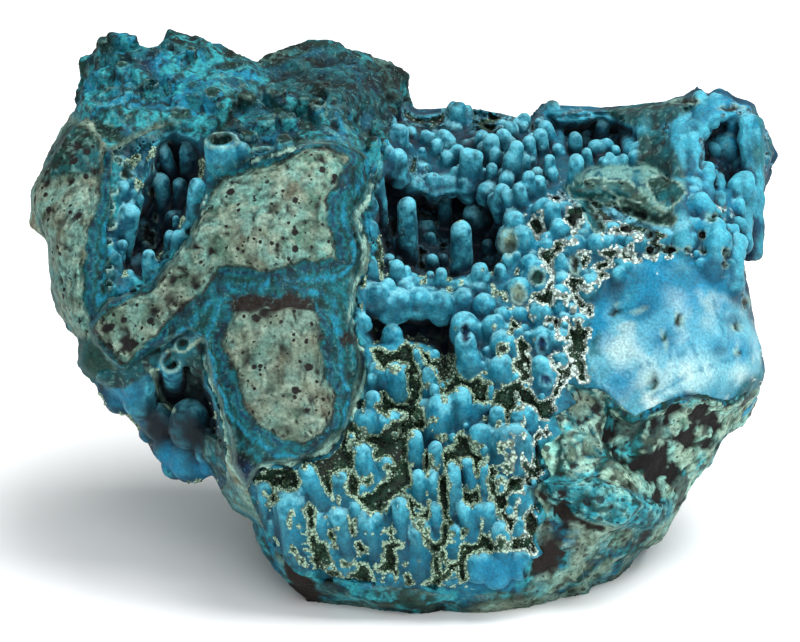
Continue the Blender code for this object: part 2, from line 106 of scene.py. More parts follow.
# Depth of the face, in mm behind its front-most plane, at listed marks: (across, down, depth)
FACE_MARKS = [
    (285, 370, 5), (285, 430, 4), (240, 340, 6.5), (320, 330, 7), (270, 220, 9.5), (335, 170, 14),
    (300, 240, 10), (210, 250, 12), (130, 330, 15), (235, 190, 14), (362, 200, 17), (362, 250, 16),
    (355, 300, 13), (358, 360, 10), (350, 420, 7), (225, 400, 7), (235, 470, 8), (250, 510, 13),
    (265, 545, 15), (290, 480, 4), (300, 530, 6), (300, 585, 14), (345, 540, 5), (400, 500, 6),
    (350, 598, 13), (430, 560, 7), (430, 610, 12), (500, 560, 7), (530, 605, 15), (500, 455, 6),
    (440, 400, 10), (400, 400, 11), (500, 380, 11), (400, 345, 13), (440, 340, 14), (420, 300, 19),
    (390, 280, 19), (470, 300, 20), (500, 300, 19), (505, 340, 14), (430, 250, 25), (400, 200, 30),
    (430, 190, 38), (480, 210, 33), (430, 150, 46), (410, 120, 53), (450, 115, 55), (500, 125, 54),
    (490, 165, 42), (520, 190, 33), (530, 240, 26), (550, 290, 20), (560, 340, 16), (560, 200, 31),
    (600, 240, 25), (620, 200, 33), (660, 200, 31), (645, 165, 38), (600, 165, 40), (560, 150, 44),
    (560, 108, 52), (615, 108, 51), (680, 100, 46), (650, 130, 44), (720, 95, 42), (700, 150, 34),
    (690, 220, 25), (730, 220, 29), (762, 150, 44), (755, 220, 38), (740, 270, 24), (758, 320, 27),
    (700, 300, 17), (640, 320, 15), (600, 350, 15), (680, 360, 13), (750, 370, 22), (640, 405, 12),
    (700, 395, 14), (600, 410, 13), (560, 430, 11), (560, 500, 10), (620, 470, 12), (640, 510, 12),
    (700, 430, 18), (745, 420, 29), (690, 480, 24), (655, 540, 22), (590, 550, 12), (600, 590, 20),
    (550, 580, 13), (65, 230, 19), (35, 200, 26), (50, 290, 23), (60, 320, 24), (85, 300, 17),
    (75, 150, 26), (95, 130, 28), (95, 200, 20), (100, 370, 17), (140, 400, 18), (110, 395, 22),
    (170, 430, 20), (160, 465, 27), (210, 470, 18), (205, 380, 9), (150, 360, 13), (140, 300, 15),
    (120, 250, 20), (150, 200, 23), (180, 160, 25), (190, 220, 14), (170, 120, 28), (120, 90, 34),
    (85, 90, 38), (90, 50, 42), (120, 30, 43), (170, 60, 39), (220, 110, 27), (240, 70, 42), (270, 130, 22),
    (300, 100, 33), (330, 130, 21), (350, 100, 37), (320, 60, 50), (385, 80, 54), (370, 120, 42),
    (368, 160, 22),
]

Y_CLAST = [
    (222, 183), (248, 174), (280, 166), (310, 152), (350, 160), (342, 180), (327, 200), (325, 220),
    (335, 258), (292, 262), (262, 270), (220, 265), (210, 280), (182, 305), (160, 335), (125, 358),
    (98, 330), (112, 312), (160, 287), (193, 245), (200, 225), (215, 200),
]
SHIELD_CLAST = [
    (240, 303), (300, 303), (321, 312), (322, 345), (323, 378), (333, 395), (326, 428), (307, 440),
    (282, 437), (258, 420), (235, 375), (225, 340),
]
LEFT_SLAB = [
    (27, 190), (40, 168), (66, 128), (84, 118), (104, 143), (97, 180), (86, 235), (83, 300), (92, 338),
    (55, 315), (45, 265), (45, 240),
]
PLATEAU = [
    (205, 168), (232, 152), (300, 142), (350, 142), (370, 160), (369, 195), (358, 212), (362, 250),
    (353, 290), (355, 328), (363, 360), (360, 395), (346, 430), (325, 448), (298, 461), (262, 466),
    (247, 486), (231, 462), (226, 415), (212, 380), (205, 345), (188, 334), (150, 354), (122, 372),
    (96, 346), (92, 325), (110, 300), (155, 284), (184, 250), (196, 225), (203, 195),
]
CENTRE_POCKET = [
    (366, 185), (385, 175), (430, 185), (480, 185), (505, 215), (512, 250), (500, 286), (470, 290),
    (435, 290), (400, 280), (368, 284), (366, 250),
]
LOWER_CAVITY = [
    (364, 304), (400, 312), (450, 322), (458, 345), (448, 380), (432, 384), (424, 356), (400, 346),
    (364, 346),
]
LEFT_POCKET = [
    (150, 138), (170, 128), (200, 145), (212, 172), (200, 205), (190, 230), (172, 262), (150, 284),
    (122, 285), (108, 255), (112, 220), (128, 200), (140, 178),
]
UPPER_RIGHT_POCKET = [
    (548, 114), (575, 112), (612, 114), (640, 126), (645, 148), (620, 166), (590, 168), (562, 160),
]
LOBE_POCKET = [(698, 122), (745, 120), (748, 150), (735, 188), (705, 190), (690, 160)]
LOWER_LEFT_HOLLOW = [
    (140, 378), (170, 352), (200, 342), (210, 380), (226, 420), (226, 452), (200, 440), (172, 415),
    (150, 402),
]
LEDGE_RECESS = [
    (600, 398), (632, 420), (660, 406), (690, 398), (730, 404), (775, 388), (775, 520), (660, 620),
    (600, 620), (570, 560), (640, 500), (600, 440),
]
TURQUOISE_SLAB = [
    (535, 475), (600, 478), (640, 495), (675, 500), (672, 518), (650, 530), (585, 520), (545, 500),
]
CREST = [(560, 187), (590, 165), (645, 166), (684, 185), (675, 210), (660, 224), (617, 198), (580, 200)]
# Ledges and hollows: (outline, depth added inside it in mm, width of its wall in grid units)
LEDGES = [
    (PLATEAU, -3.6, 7), (Y_CLAST, -0.9, 3), (SHIELD_CLAST, -0.9, 3), (LEFT_SLAB, -1.5, 6),
    (CENTRE_POCKET, 15, 16), (LOWER_CAVITY, 13, 14), (LEFT_POCKET, 11, 18), (UPPER_RIGHT_POCKET, 10, 16),
    (LOBE_POCKET, 8, 12), (LOWER_LEFT_HOLLOW, 9, 14), (LEDGE_RECESS, 3.5, 8), (TURQUOISE_SLAB, -2.5, 7),
    (CREST, -2.5, 8),
]

# Flat breaks on the back: (across, down, depth in mm, outward direction across, up and back)
CHIPS = [
    (400, 330, 65, (0.1, 0.02, 1.0)), (700, 300, 68, (0.74, 0.08, 0.66)),
    (110, 300, 57, (-0.72, 0.1, 0.68)), (320, 90, 67, (-0.1, 0.62, 0.78)),
    (150, 110, 61, (-0.48, 0.42, 0.77)), (680, 150, 62, (0.4, 0.42, 0.81)),
    (190, 470, 42, (-0.66, -0.4, 0.63)), (660, 500, 50, (0.72, -0.36, 0.6)),
]

# Where the crusts cover the rock
FRONT_CRUST = [
    (374, 188), (384, 150), (392, 120), (400, 98), (440, 96), (535, 104), (548, 94), (640, 92), (700, 70),
    (760, 80), (795, 150), (780, 250), (780, 340), (764, 386), (730, 400), (695, 396), (660, 402),
    (632, 416), (600, 388), (562, 384), (574, 402), (552, 416), (563, 436), (541, 450), (550, 474),
    (531, 488), (546, 512), (532, 530), (543, 552), (524, 566), (530, 584), (470, 596), (400, 588),
    (340, 578), (296, 572), (270, 545), (256, 510), (248, 486), (262, 466), (298, 463), (328, 448),
    (354, 422), (364, 395), (364, 358), (354, 328), (354, 292), (364, 275), (368, 240), (366, 215),
]
LEFT_POCKET_CRUST = [
    (140, 134), (170, 124), (206, 138), (240, 128), (254, 160), (220, 178), (204, 208), (192, 238),
    (166, 268), (156, 284), (128, 296), (108, 300), (104, 250), (106, 210), (110, 150),
]
LOWER_LEFT_CRUST = [
    (96, 372), (126, 364), (152, 352), (186, 330), (202, 334), (208, 372), (222, 410), (228, 450),
    (228, 478), (214, 500), (180, 500), (130, 440), (90, 392),
]

# Fingers: (tip across, tip down, root across, root down, radius), in grid units
FINGERS = [
    (162, 142, 175, 190, 8), (160, 172, 165, 210, 9), (188, 141, 190, 185, 9), (197, 177, 195, 212, 8),
    (130, 203, 122, 250, 10), (149, 249, 150, 275, 7), (222, 97, 228, 132, 9), (407, 196, 408, 262, 10),
    (461, 220, 462, 275, 11), (445, 190, 446, 225, 7), (428, 218, 430, 235, 7), (475, 201, 480, 240, 12),
    (400, 122, 401, 150, 9), (432, 130, 434, 150, 8), (467, 146, 468, 185, 8), (476, 148, 473, 185, 8),
    (492, 132, 495, 165, 9), (517, 139, 515, 180, 8), (530, 134, 532, 165, 7), (577, 153, 575, 185, 8),
    (547, 118, 553, 145, 8), (489, 182, 492, 205, 7), (509, 188, 512, 210, 8), (519, 182, 524, 210, 7),
    (409, 175, 410, 195, 10), (515, 210, 515, 235, 10), (523, 225, 526, 250, 11), (552, 200, 555, 225, 8),
    (388, 277, 388, 300, 8), (370, 256, 372, 275, 7), (395, 362, 396, 385, 10), (430, 365, 430, 390, 8),
    (373, 389, 375, 420, 8), (362, 442, 367, 475, 9), (415, 428, 416, 458, 8), (440, 393, 438, 428, 13),
    (460, 385, 462, 415, 11), (418, 468, 420, 500, 7), (453, 461, 456, 508, 7), (463, 500, 470, 530, 7),
    (290, 488, 300, 560, 13), (338, 508, 347, 545, 8), (366, 507, 378, 562, 9), (400, 495, 405, 555, 9),
    (418, 515, 420, 560, 11), (307, 462, 320, 497, 9), (265, 480, 268, 515, 7), (497, 405, 495, 425, 8),
    (540, 355, 541, 380, 10), (340, 470, 342, 495, 8), (529, 170, 531, 200, 7), (465, 330, 467, 360, 11),
    (480, 262, 482, 290, 9), (500, 520, 502, 550, 9), (113, 250, 115, 265, 6), (109, 149, 108, 168, 5),
    (243, 142, 252, 163, 7), (178, 230, 178, 250, 7), (199, 130, 200, 140, 6), (445, 148, 446, 160, 5),
    (550, 153, 552, 180, 6), (571, 139, 572, 150, 5), (473, 190, 474, 205, 4), (398, 268, 403, 285, 7),
    (375, 362, 378, 378, 7), (483, 460, 484, 488, 5), (467, 457, 468, 480, 6), (454, 522, 452, 550, 6),
    (320, 512, 323, 530, 5), (386, 500, 387, 520, 4), (515, 410, 515, 425, 5), (530, 405, 530, 422, 7),
    (528, 436, 528, 450, 5), (435, 500, 436, 530, 6), (280, 500, 284, 540, 6), (355, 500, 358, 530, 5),
    (488, 500, 490, 525, 6), (435, 440, 436, 465, 7),
]

# Rounded mounds: (across, down, radius), in grid units
MOUNDS = [
    (365, 425, 12), (388, 428, 12), (347, 562, 12), (405, 293, 10), (480, 295, 10), (510, 245, 11),
    (518, 295, 11), (392, 340, 11), (510, 455, 22), (470, 365, 11), (503, 350, 13), (500, 375, 13),
    (478, 568, 13), (496, 573, 14), (518, 566, 12), (390, 310, 14), (160, 425, 15), (190, 428, 20),
    (150, 400, 13), (118, 398, 12), (180, 455, 15), (508, 242, 12), (518, 293, 11), (538, 277, 11),
    (465, 333, 15), (541, 345, 12), (545, 380, 11), (480, 440, 12), (540, 320, 12), (560, 300, 11),
    (598, 250, 12), (636, 248, 11), (575, 250, 11), (720, 245, 11), (700, 210, 12), (730, 150, 13),
    (755, 130, 12), (745, 190, 13), (590, 290, 12), (530, 270, 11), (520, 420, 11), (520, 500, 12),
    (560, 345, 11), (377, 301, 13), (398, 309, 14), (420, 306, 13), (441, 311, 14), (462, 306, 12),
    (484, 312, 13), (408, 325, 11), (432, 330, 10), (470, 334, 11), (492, 332, 12), (381, 186, 9),
    (399, 184, 10), (415, 188, 9), (432, 186, 10), (450, 188, 9), (469, 190, 10), (487, 196, 10),
    (501, 205, 10), (512, 222, 9), (370, 208, 8), (371, 232, 8), (120, 398, 15), (141, 403, 15),
    (158, 396, 14), (199, 377, 9), (203, 403, 10), (178, 412, 9), (192, 460, 21), (168, 447, 14),
    (150, 432, 11), (207, 452, 11), (135, 385, 12), (176, 465, 14), (108, 388, 10), (365, 325, 7),
    (385, 330, 7), (430, 297, 6), (443, 297, 5), (452, 300, 5), (463, 293, 9), (412, 286, 6), (436, 566, 9),
    (500, 485, 8), (215, 450, 10), (618, 168, 8), (385, 470, 9), (330, 560, 9), (275, 530, 9),
    (395, 580, 9), (450, 575, 9), (430, 480, 8), (480, 515, 9), (425, 410, 8), (345, 520, 8), (665, 240, 8),
    (560, 270, 9), (545, 250, 8), (585, 225, 9), (612, 235, 9), (560, 235, 11), (545, 215, 12),
]
# Broken fingers, as fingers with the kind of end
STUMPS = [
    (112, 190, 112, 204, 7, 'cup'), (110, 207, 110, 219, 6, 'cup'), (110, 224, 110, 236, 7, 'cup'),
    (108, 242, 108, 254, 6, 'cup'), (109, 267, 109, 280, 6, 'cup'), (110, 284, 110, 296, 6, 'cup'),
    (118, 160, 118, 172, 6, 'cup'), (127, 176, 127, 188, 7, 'flat'), (148, 168, 149, 182, 6, 'flat'),
    (172, 362, 176, 388, 11, 'cup'), (184, 345, 186, 362, 8, 'flat'), (166, 385, 170, 402, 8, 'flat'),
    (222, 140, 225, 176, 18, 'cup'), (181, 116, 184, 140, 13, 'cup'), (262, 150, 262, 168, 11, 'cup'),
    (112, 26, 114, 50, 7, 'flat'), (128, 30, 128, 52, 8, 'flat'), (100, 36, 100, 55, 6, 'flat'),
    (190, 46, 190, 66, 7, 'flat'), (265, 117, 266, 136, 12, 'flat'), (286, 117, 286, 136, 9, 'flat'),
    (285, 139, 285, 156, 10, 'flat'), (248, 134, 249, 150, 8, 'flat'), (276, 88, 276, 108, 12, 'flat'),
    (318, 102, 320, 122, 9, 'cup'), (150, 80, 151, 96, 9, 'cup'), (212, 92, 212, 110, 9, 'flat'),
    (246, 92, 246, 108, 8, 'flat'), (305, 96, 305, 112, 7, 'flat'), (120, 62, 121, 80, 8, 'flat'),
]

# Ridges that lie along the face, as fingers
RIDGES = [
    (682, 106, 684, 236, 11), (756, 114, 754, 238, 11), (743, 146, 746, 238, 8), (708, 160, 706, 215, 8),
    (702, 88, 704, 126, 7), (718, 90, 716, 118, 5), (735, 110, 739, 140, 7), (748, 112, 750, 150, 7),
    (722, 172, 722, 200, 5), (694, 130, 694, 200, 6), (560, 116, 561, 150, 6), (590, 118, 592, 140, 6),
    (630, 126, 634, 150, 9), (645, 118, 648, 152, 7), (382, 120, 384, 190, 8), (376, 150, 380, 215, 7),
    (388, 100, 392, 150, 7), (715, 215, 712, 262, 11), (738, 232, 735, 280, 9),
]
# Where small growths are strewn: (outline, how many, smallest and largest radius, share that are fingers)
STREWN = [
    ([(262, 470), (345, 450), (372, 380), (372, 350), (450, 350), (545, 400), (535, 585), (400, 585),
      (290, 570)], 100, 2.4, 5.5, 0.4),
    ([(370, 110), (540, 120), (560, 200), (500, 220), (372, 200)], 110, 4.0, 9.0, 0.75),
    ([(375, 195), (500, 200), (515, 290), (380, 290)], 40, 4.0, 8.0, 0.5),
    ([(500, 200), (600, 215), (640, 250), (600, 330), (560, 380), (470, 380), (470, 320)],
     70, 3.5, 8.0, 0.15),
    ([(670, 225), (690, 110), (765, 115), (755, 240), (745, 275), (690, 265)], 70, 3.0, 8.0, 0.0),
    ([(110, 160), (200, 140), (210, 180), (150, 285), (108, 285)], 60, 3.0, 8.0, 0.6),
    ([(100, 378), (200, 340), (225, 470), (180, 472), (130, 415)], 110, 4.0, 11.0, 0.0),
    ([(548, 100), (650, 100), (650, 165), (600, 175), (556, 160)], 40, 4.0, 9.0, 0.5),
    ([(80, 50), (165, 45), (340, 70), (390, 120), (340, 130), (230, 130), (150, 120), (90, 120)],
     90, 3.0, 7.5, 0.1),
]
SEED = 11


def srgb(red, green, blue):
    """A display colour, 0 to 255, as linear values."""
    value = np.array([red, green, blue]) / 255
    return np.where(value <= 0.04045, value / 12.92, ((value + 0.055) / 1.055) ** 2.4)


def face_to_world(across, down, depth):
    """X, Y, Z of places on the leaning face; depth is in metres behind the front-most plane."""
    up = (BASE_DOWN - down) * GRID
    x = (across - MIDDLE_ACROSS) * GRID
    y = up * math.sin(LEAN) + depth * math.cos(LEAN) - BEHIND_ORIGIN
    z = up * math.cos(LEAN) - depth * math.sin(LEAN) + BASE_DEPTH * math.sin(LEAN)
    return np.stack([x, y, z], axis=-1)


def world_to_face(points):
    """(across, down, depth) of points given in X, Y, Z."""
    y = points[:, 1] + BEHIND_ORIGIN
    z = points[:, 2] - BASE_DEPTH * math.sin(LEAN)
    up = y * math.sin(LEAN) + z * math.cos(LEAN)
    depth = y * math.cos(LEAN) - z * math.sin(LEAN)
    return points[:, 0] / GRID + MIDDLE_ACROSS, BASE_DOWN - up / GRID, depth


def on_face_axes(points):
    """Points given in X, Y, Z, in metres on the face's own axes: across, down and depth."""
    return np.stack(world_to_face(points), axis=-1) * np.array([GRID, GRID, 1])


def distance_inside(across, down, outline):
    """Distance from each place to the outline, in grid units: positive inside it, negative outside."""
    corners = np.array(outline, np.float32)
    place = np.stack([np.ravel(across), np.ravel(down)], axis=-1).astype(np.float32)
    nearest = np.full(len(place), 1e9, np.float32)
    inside = np.zeros(len(place), bool)
    for start, end in zip(corners, np.roll(corners, -1, axis=0)):
        edge = end - start
        away = place - start
        along = np.clip(away @ edge / (edge @ edge), 0, 1)
        away -= along[:, None] * edge
        nearest = np.minimum(nearest, away[:, 0] ** 2 + away[:, 1] ** 2)
        if start[1] != end[1]:
            crosses = (start[1] > place[:, 1]) != (end[1] > place[:, 1])
            meets = start[0] + (place[:, 1] - start[1]) * edge[0] / edge[1]
            inside ^= crosses & (place[:, 0] < meets)
    reach = np.sqrt(nearest)
    return np.where(inside, reach, -reach).reshape(np.shape(across))


def smooth_step(value):
    """0 below 0, 1 above 1, and a smooth rise between."""
    value = np.clip(value, 0, 1)
    return value * value * (3 - 2 * value)


def within(across, down, outline, softness=4):
    """1 inside an outline and 0 outside it, with a soft edge."""
    return smooth_step(distance_inside(across, down, outline) / softness + 0.5)


def blend(low, high, share):
    """A mix of two colours, or of colours for each row, by one share or a share for each row."""
    return low + (high - low) * np.clip(share, 0, 1)[..., None]


def from_segment(places, start, end):
    """How far along a segment each place lies, 0 to 1, and how far from it."""
    axis = end - start
    along = np.clip((places - start) @ axis / (axis @ axis), 0, 1)
    return along, np.linalg.norm(places - start - along[..., None] * axis, axis=-1)


def ellipse(across, down, across0, down0, half_width, half_height):
    """Distance from a centre in parts of an ellipse's half width and half height: 1 on its edge."""
    return np.hypot((across - across0) / half_width, (down - down0) / half_height)


class Envelope:
    """A smooth surface through the face's depth marks."""

    SOFTNESS = 25

    def __init__(self, marks):
        self.marks = np.array(marks, float)
        spread = self.kernel(self.marks[:, 0], self.marks[:, 1])
        self.mean = self.marks[:, 2].mean()
        self.weights = np.linalg.solve(spread, self.marks[:, 2] - self.mean)

    def kernel(self, across, down):
        reach = np.hypot(across[..., None] - self.marks[:, 0], down[..., None] - self.marks[:, 1])
        return np.sqrt(reach ** 2 + self.SOFTNESS ** 2)

    def __call__(self, across, down):
        return self.mean + self.kernel(np.asarray(across, float), np.asarray(down, float)) @ self.weights


ENVELOPE = Envelope(FACE_MARKS)


def wander(across, down, reach):
    """Places moved a little, so that the straight runs of the outlines read as broken stone."""
    place = np.stack([np.ravel(across), np.ravel(down), np.zeros(np.size(across))], axis=-1) * GRID
    aside = reach * noise(place, 0.0065, 201, 3).reshape(np.shape(across))
    below = reach * noise(place, 0.0065, 211, 3).reshape(np.shape(across))
    return across + aside, down + below


def face_depth(across, down):
    """Depth of the face in metres: the envelope, its ledges and hollows, and a rounded shoulder."""
    depth = ENVELOPE(across, down)
    firm = wander(across, down, FIRM)
    loose = wander(across, down, LOOSE)
    for outline, added, wall in LEDGES:
        place = loose if added > LOOSE_DEPTH else firm
        depth = depth + added * smooth_step(distance_inside(*place, outline) / wall)
    edge = np.clip(1 - distance_inside(across, down, SILHOUETTE) / SHOULDER, 0, 1)
    return np.clip(depth + SHOULDER_DROP * edge ** 2, 0, 60) * MM


def silhouette_reach(angles):
    """Distance from CENTRE to the silhouette along each angle, in grid units."""
    corners = np.array(SILHOUETTE, float)
    edges = np.roll(corners, -1, axis=0) - corners
    dense = np.concatenate([corners + edges * part for part in (0, 0.25, 0.5, 0.75)])
    across = dense[:, 0] - CENTRE[0]
    down = dense[:, 1] - CENTRE[1]
    order = np.argsort(np.arctan2(down, across))
    turn = np.arctan2(down, across)[order]
    return np.interp(angles, turn, np.hypot(across, down)[order], period=math.tau)


# Noise

def lattice(length, spacing):
    """Weights that spread a coarse row of random values smoothly over a fine row."""
    place = np.arange(length) / spacing
    first = np.floor(place).astype(int)
    part = place - first
    weights = np.zeros((length, int(first[-1]) + 4), np.float32)
    curves = ((1 - part) ** 3 / 6, (3 * part ** 3 - 6 * part ** 2 + 4) / 6,
              (-3 * part ** 3 + 3 * part ** 2 + 3 * part + 1) / 6, part ** 3 / 6)
    for offset, curve in enumerate(curves):
        weights[np.arange(length), first + offset] = curve
    return weights


def noise_volume(shape, size, seed):
    """Smooth noise, about -1 to 1, on the whole grid of distances; size is its grain in metres."""
    weights = [lattice(length, size / CELL) for length in shape]
    values = np.random.default_rng(seed).uniform(-1, 1, [w.shape[1] for w in weights]).astype(np.float32)
    part = np.tensordot(weights[0], values, (1, 0))
    part = np.einsum("jb,abc->ajc", weights[1], part, optimize=True)
    return 2.2 * (part @ weights[2].T)


def hashed(cells, seed):
    """A random value from 0 to 1 for each whole-numbered cell."""
    mixed = cells[..., 0] * 73856093 ^ cells[..., 1] * 19349663 ^ cells[..., 2] * 83492791 ^ seed * 2654435761
    mixed = (mixed ^ (mixed >> 13)) * 1274126177 & 0x7FFFFFFF
    mixed = (mixed ^ (mixed >> 16)) * 668265263 & 0x7FFFFFFF
    return (mixed >> 7 & 0xFFFF) / 65535.0


def noise(points, size, seed, octaves=1):
    """Smooth noise, about -1 to 1, at points; size is its grain in metres."""
    total = np.zeros(len(points))
    strength = 1.0
    for octave in range(octaves):
        place = points / (size / 2 ** octave) + 31.7 * octave
        cell = np.floor(place).astype(np.int64)
        part = place - cell
        part = part * part * part * (part * (part * 6 - 15) + 10)
        value = np.zeros(len(points))
        for corner in range(8):
            step = np.array([corner & 1, corner >> 1 & 1, corner >> 2 & 1])
            weight = np.prod(np.where(step == 1, part, 1 - part), axis=1)
            value += weight * hashed(cell + step, seed + octave)
        total += strength * (value * 2 - 1)
        strength *= 0.5
    return total * 1.3


def cells(points, size, seed):
    """For centres strewn a size apart: how far the nearest is, how far the border with the next, and the
    nearest's random value. Distances are in parts of size.
    """
    place = points / size
    cell = np.floor(place).astype(np.int64)
    nearest = np.full(len(points), 9.0)
    second = np.full(len(points), 9.0)
    chosen = np.zeros(len(points))
    for step in np.ndindex(3, 3, 3):
        there = cell + np.array(step) - 1
        centre = np.stack([there[:, axis] + hashed(there, seed + axis) for axis in range(3)], axis=-1)
        away = ((place - centre) ** 2).sum(axis=1)
        closer = away < nearest
        second = np.where(closer, nearest, np.minimum(second, away))
        nearest[closer] = away[closer]
        chosen[closer] = hashed(there[closer], seed + 7)
    return np.sqrt(nearest), np.sqrt(second) - np.sqrt(nearest), chosen


def patches(points, base, gain, size, seed, octaves=2):
    """Soft-edged patches, 0 to 1, where base plus gain times a noise is high."""
    return smooth_step(base + gain * noise(points, size, seed, octaves))


def mottled(points, tint, *layers):
    """A colour under patches of others, each (colour, share, base, gain, grain, seed, octaves).

    A number in place of a colour darkens what is there.
    """
    for colour, share, *pattern in layers:
        over = colour if np.ndim(colour) else tint * colour
        tint = blend(tint, over, share * patches(points, *pattern))
    return tint


# The relief

def finger(tip_across, tip_down, root_across, root_down, radius, lying=False):
    """Root, tip and radius, in metres on the face's own axes, of a finger that leans out as it rises.

    It stands proud of the face where the face is near; a lying one follows the face all the way.
    """
    root_face, tip_face = face_depth(np.array([root_across, tip_across], float),
                                     np.array([root_down, tip_down + radius], float))
    leaning = root_face - FINGER_LEAN * (root_down - tip_down) * GRID + radius * GRID
    proud = tip_face - TIP_PROUD * radius * GRID
    tip = np.array([tip_across * GRID, (tip_down + radius) * GRID, proud if lying else min(leaning, proud)])
    root = np.array([root_across * GRID, root_down * GRID, root_face + ROOT_SUNK * radius * GRID])
    axis = (tip - root) / np.linalg.norm(tip - root)
    return root - axis * radius * GRID, tip, radius * GRID, "round"


def strew(outline, count, smallest, largest, chance):
    """Random places inside an outline and clear of the silhouette, with random sizes."""
    corners = np.array(outline, float)
    spots = chance.uniform(corners.min(axis=0), corners.max(axis=0), (count * 6, 2))
    clear = distance_inside(spots[:, 0], spots[:, 1], SILHOUETTE) > largest
    spots = spots[clear & (distance_inside(spots[:, 0], spots[:, 1], outline) > 0)][:count]
    sizes = smallest + (largest - smallest) * chance.random(len(spots)) ** 1.6
    return [(*spot, size) for spot, size in zip(spots, sizes)]


def growths():
    """Every finger, mound and stump, as its root, tip, radius and kind of end."""
    made = [finger(*place) for place in FINGERS]
    for across, top, *root, radius, kind in STUMPS:
        made.append((*finger(across, top - radius, *root, radius)[:3], kind))
    made += [finger(*place, lying=True) for place in RIDGES]
    chance = np.random.default_rng(SEED)
    mounds = [(*place, MOUND_SUNK) for place in MOUNDS]
    for outline, count, smallest, largest, upright in STREWN:
        for across, down, size in strew(outline, count, smallest, largest, chance):
            if chance.random() < upright:
                rise = size * chance.uniform(1.6, 4.0)
                made.append(finger(across + chance.normal(0, 1), down - rise, across, down, size))
            else:
                mounds.append((across, down, size, STREWN_SUNK))
    for across, down, radius, sunk in mounds:
        depth = face_depth(np.array([across], float), np.array([down], float))[0]
        centre = np.array([across * GRID, down * GRID, depth + sunk * radius * GRID])
        made.append((centre, centre + np.array([0, -0.5, -0.3]) * radius * GRID, radius * GRID, "round"))
    return made


def capsule(points, root, tip, radius, kind):
    """Distance from points to a finger. A stump ends flat and a cup hollow."""
    along, reach = from_segment(points, root, tip)
    reach = reach - radius * (1.08 - 0.12 * along)
    if kind != "round":
        over, away = across_the_end(points, root, tip)
        reach = np.maximum(reach, over)
        if kind == "cup":
            reach = np.maximum(reach, -np.maximum(away - 0.62 * radius, -over - 1.1 * radius))
    return reach


def across_the_end(points, root, tip):
    """How far points lie beyond a finger's tip along its axis, and how far from that axis."""
    axis = (tip - root) / np.linalg.norm(tip - root)
    over = (points - tip) @ axis
    return over, np.linalg.norm(points - tip - over[..., None] * axis, axis=-1)


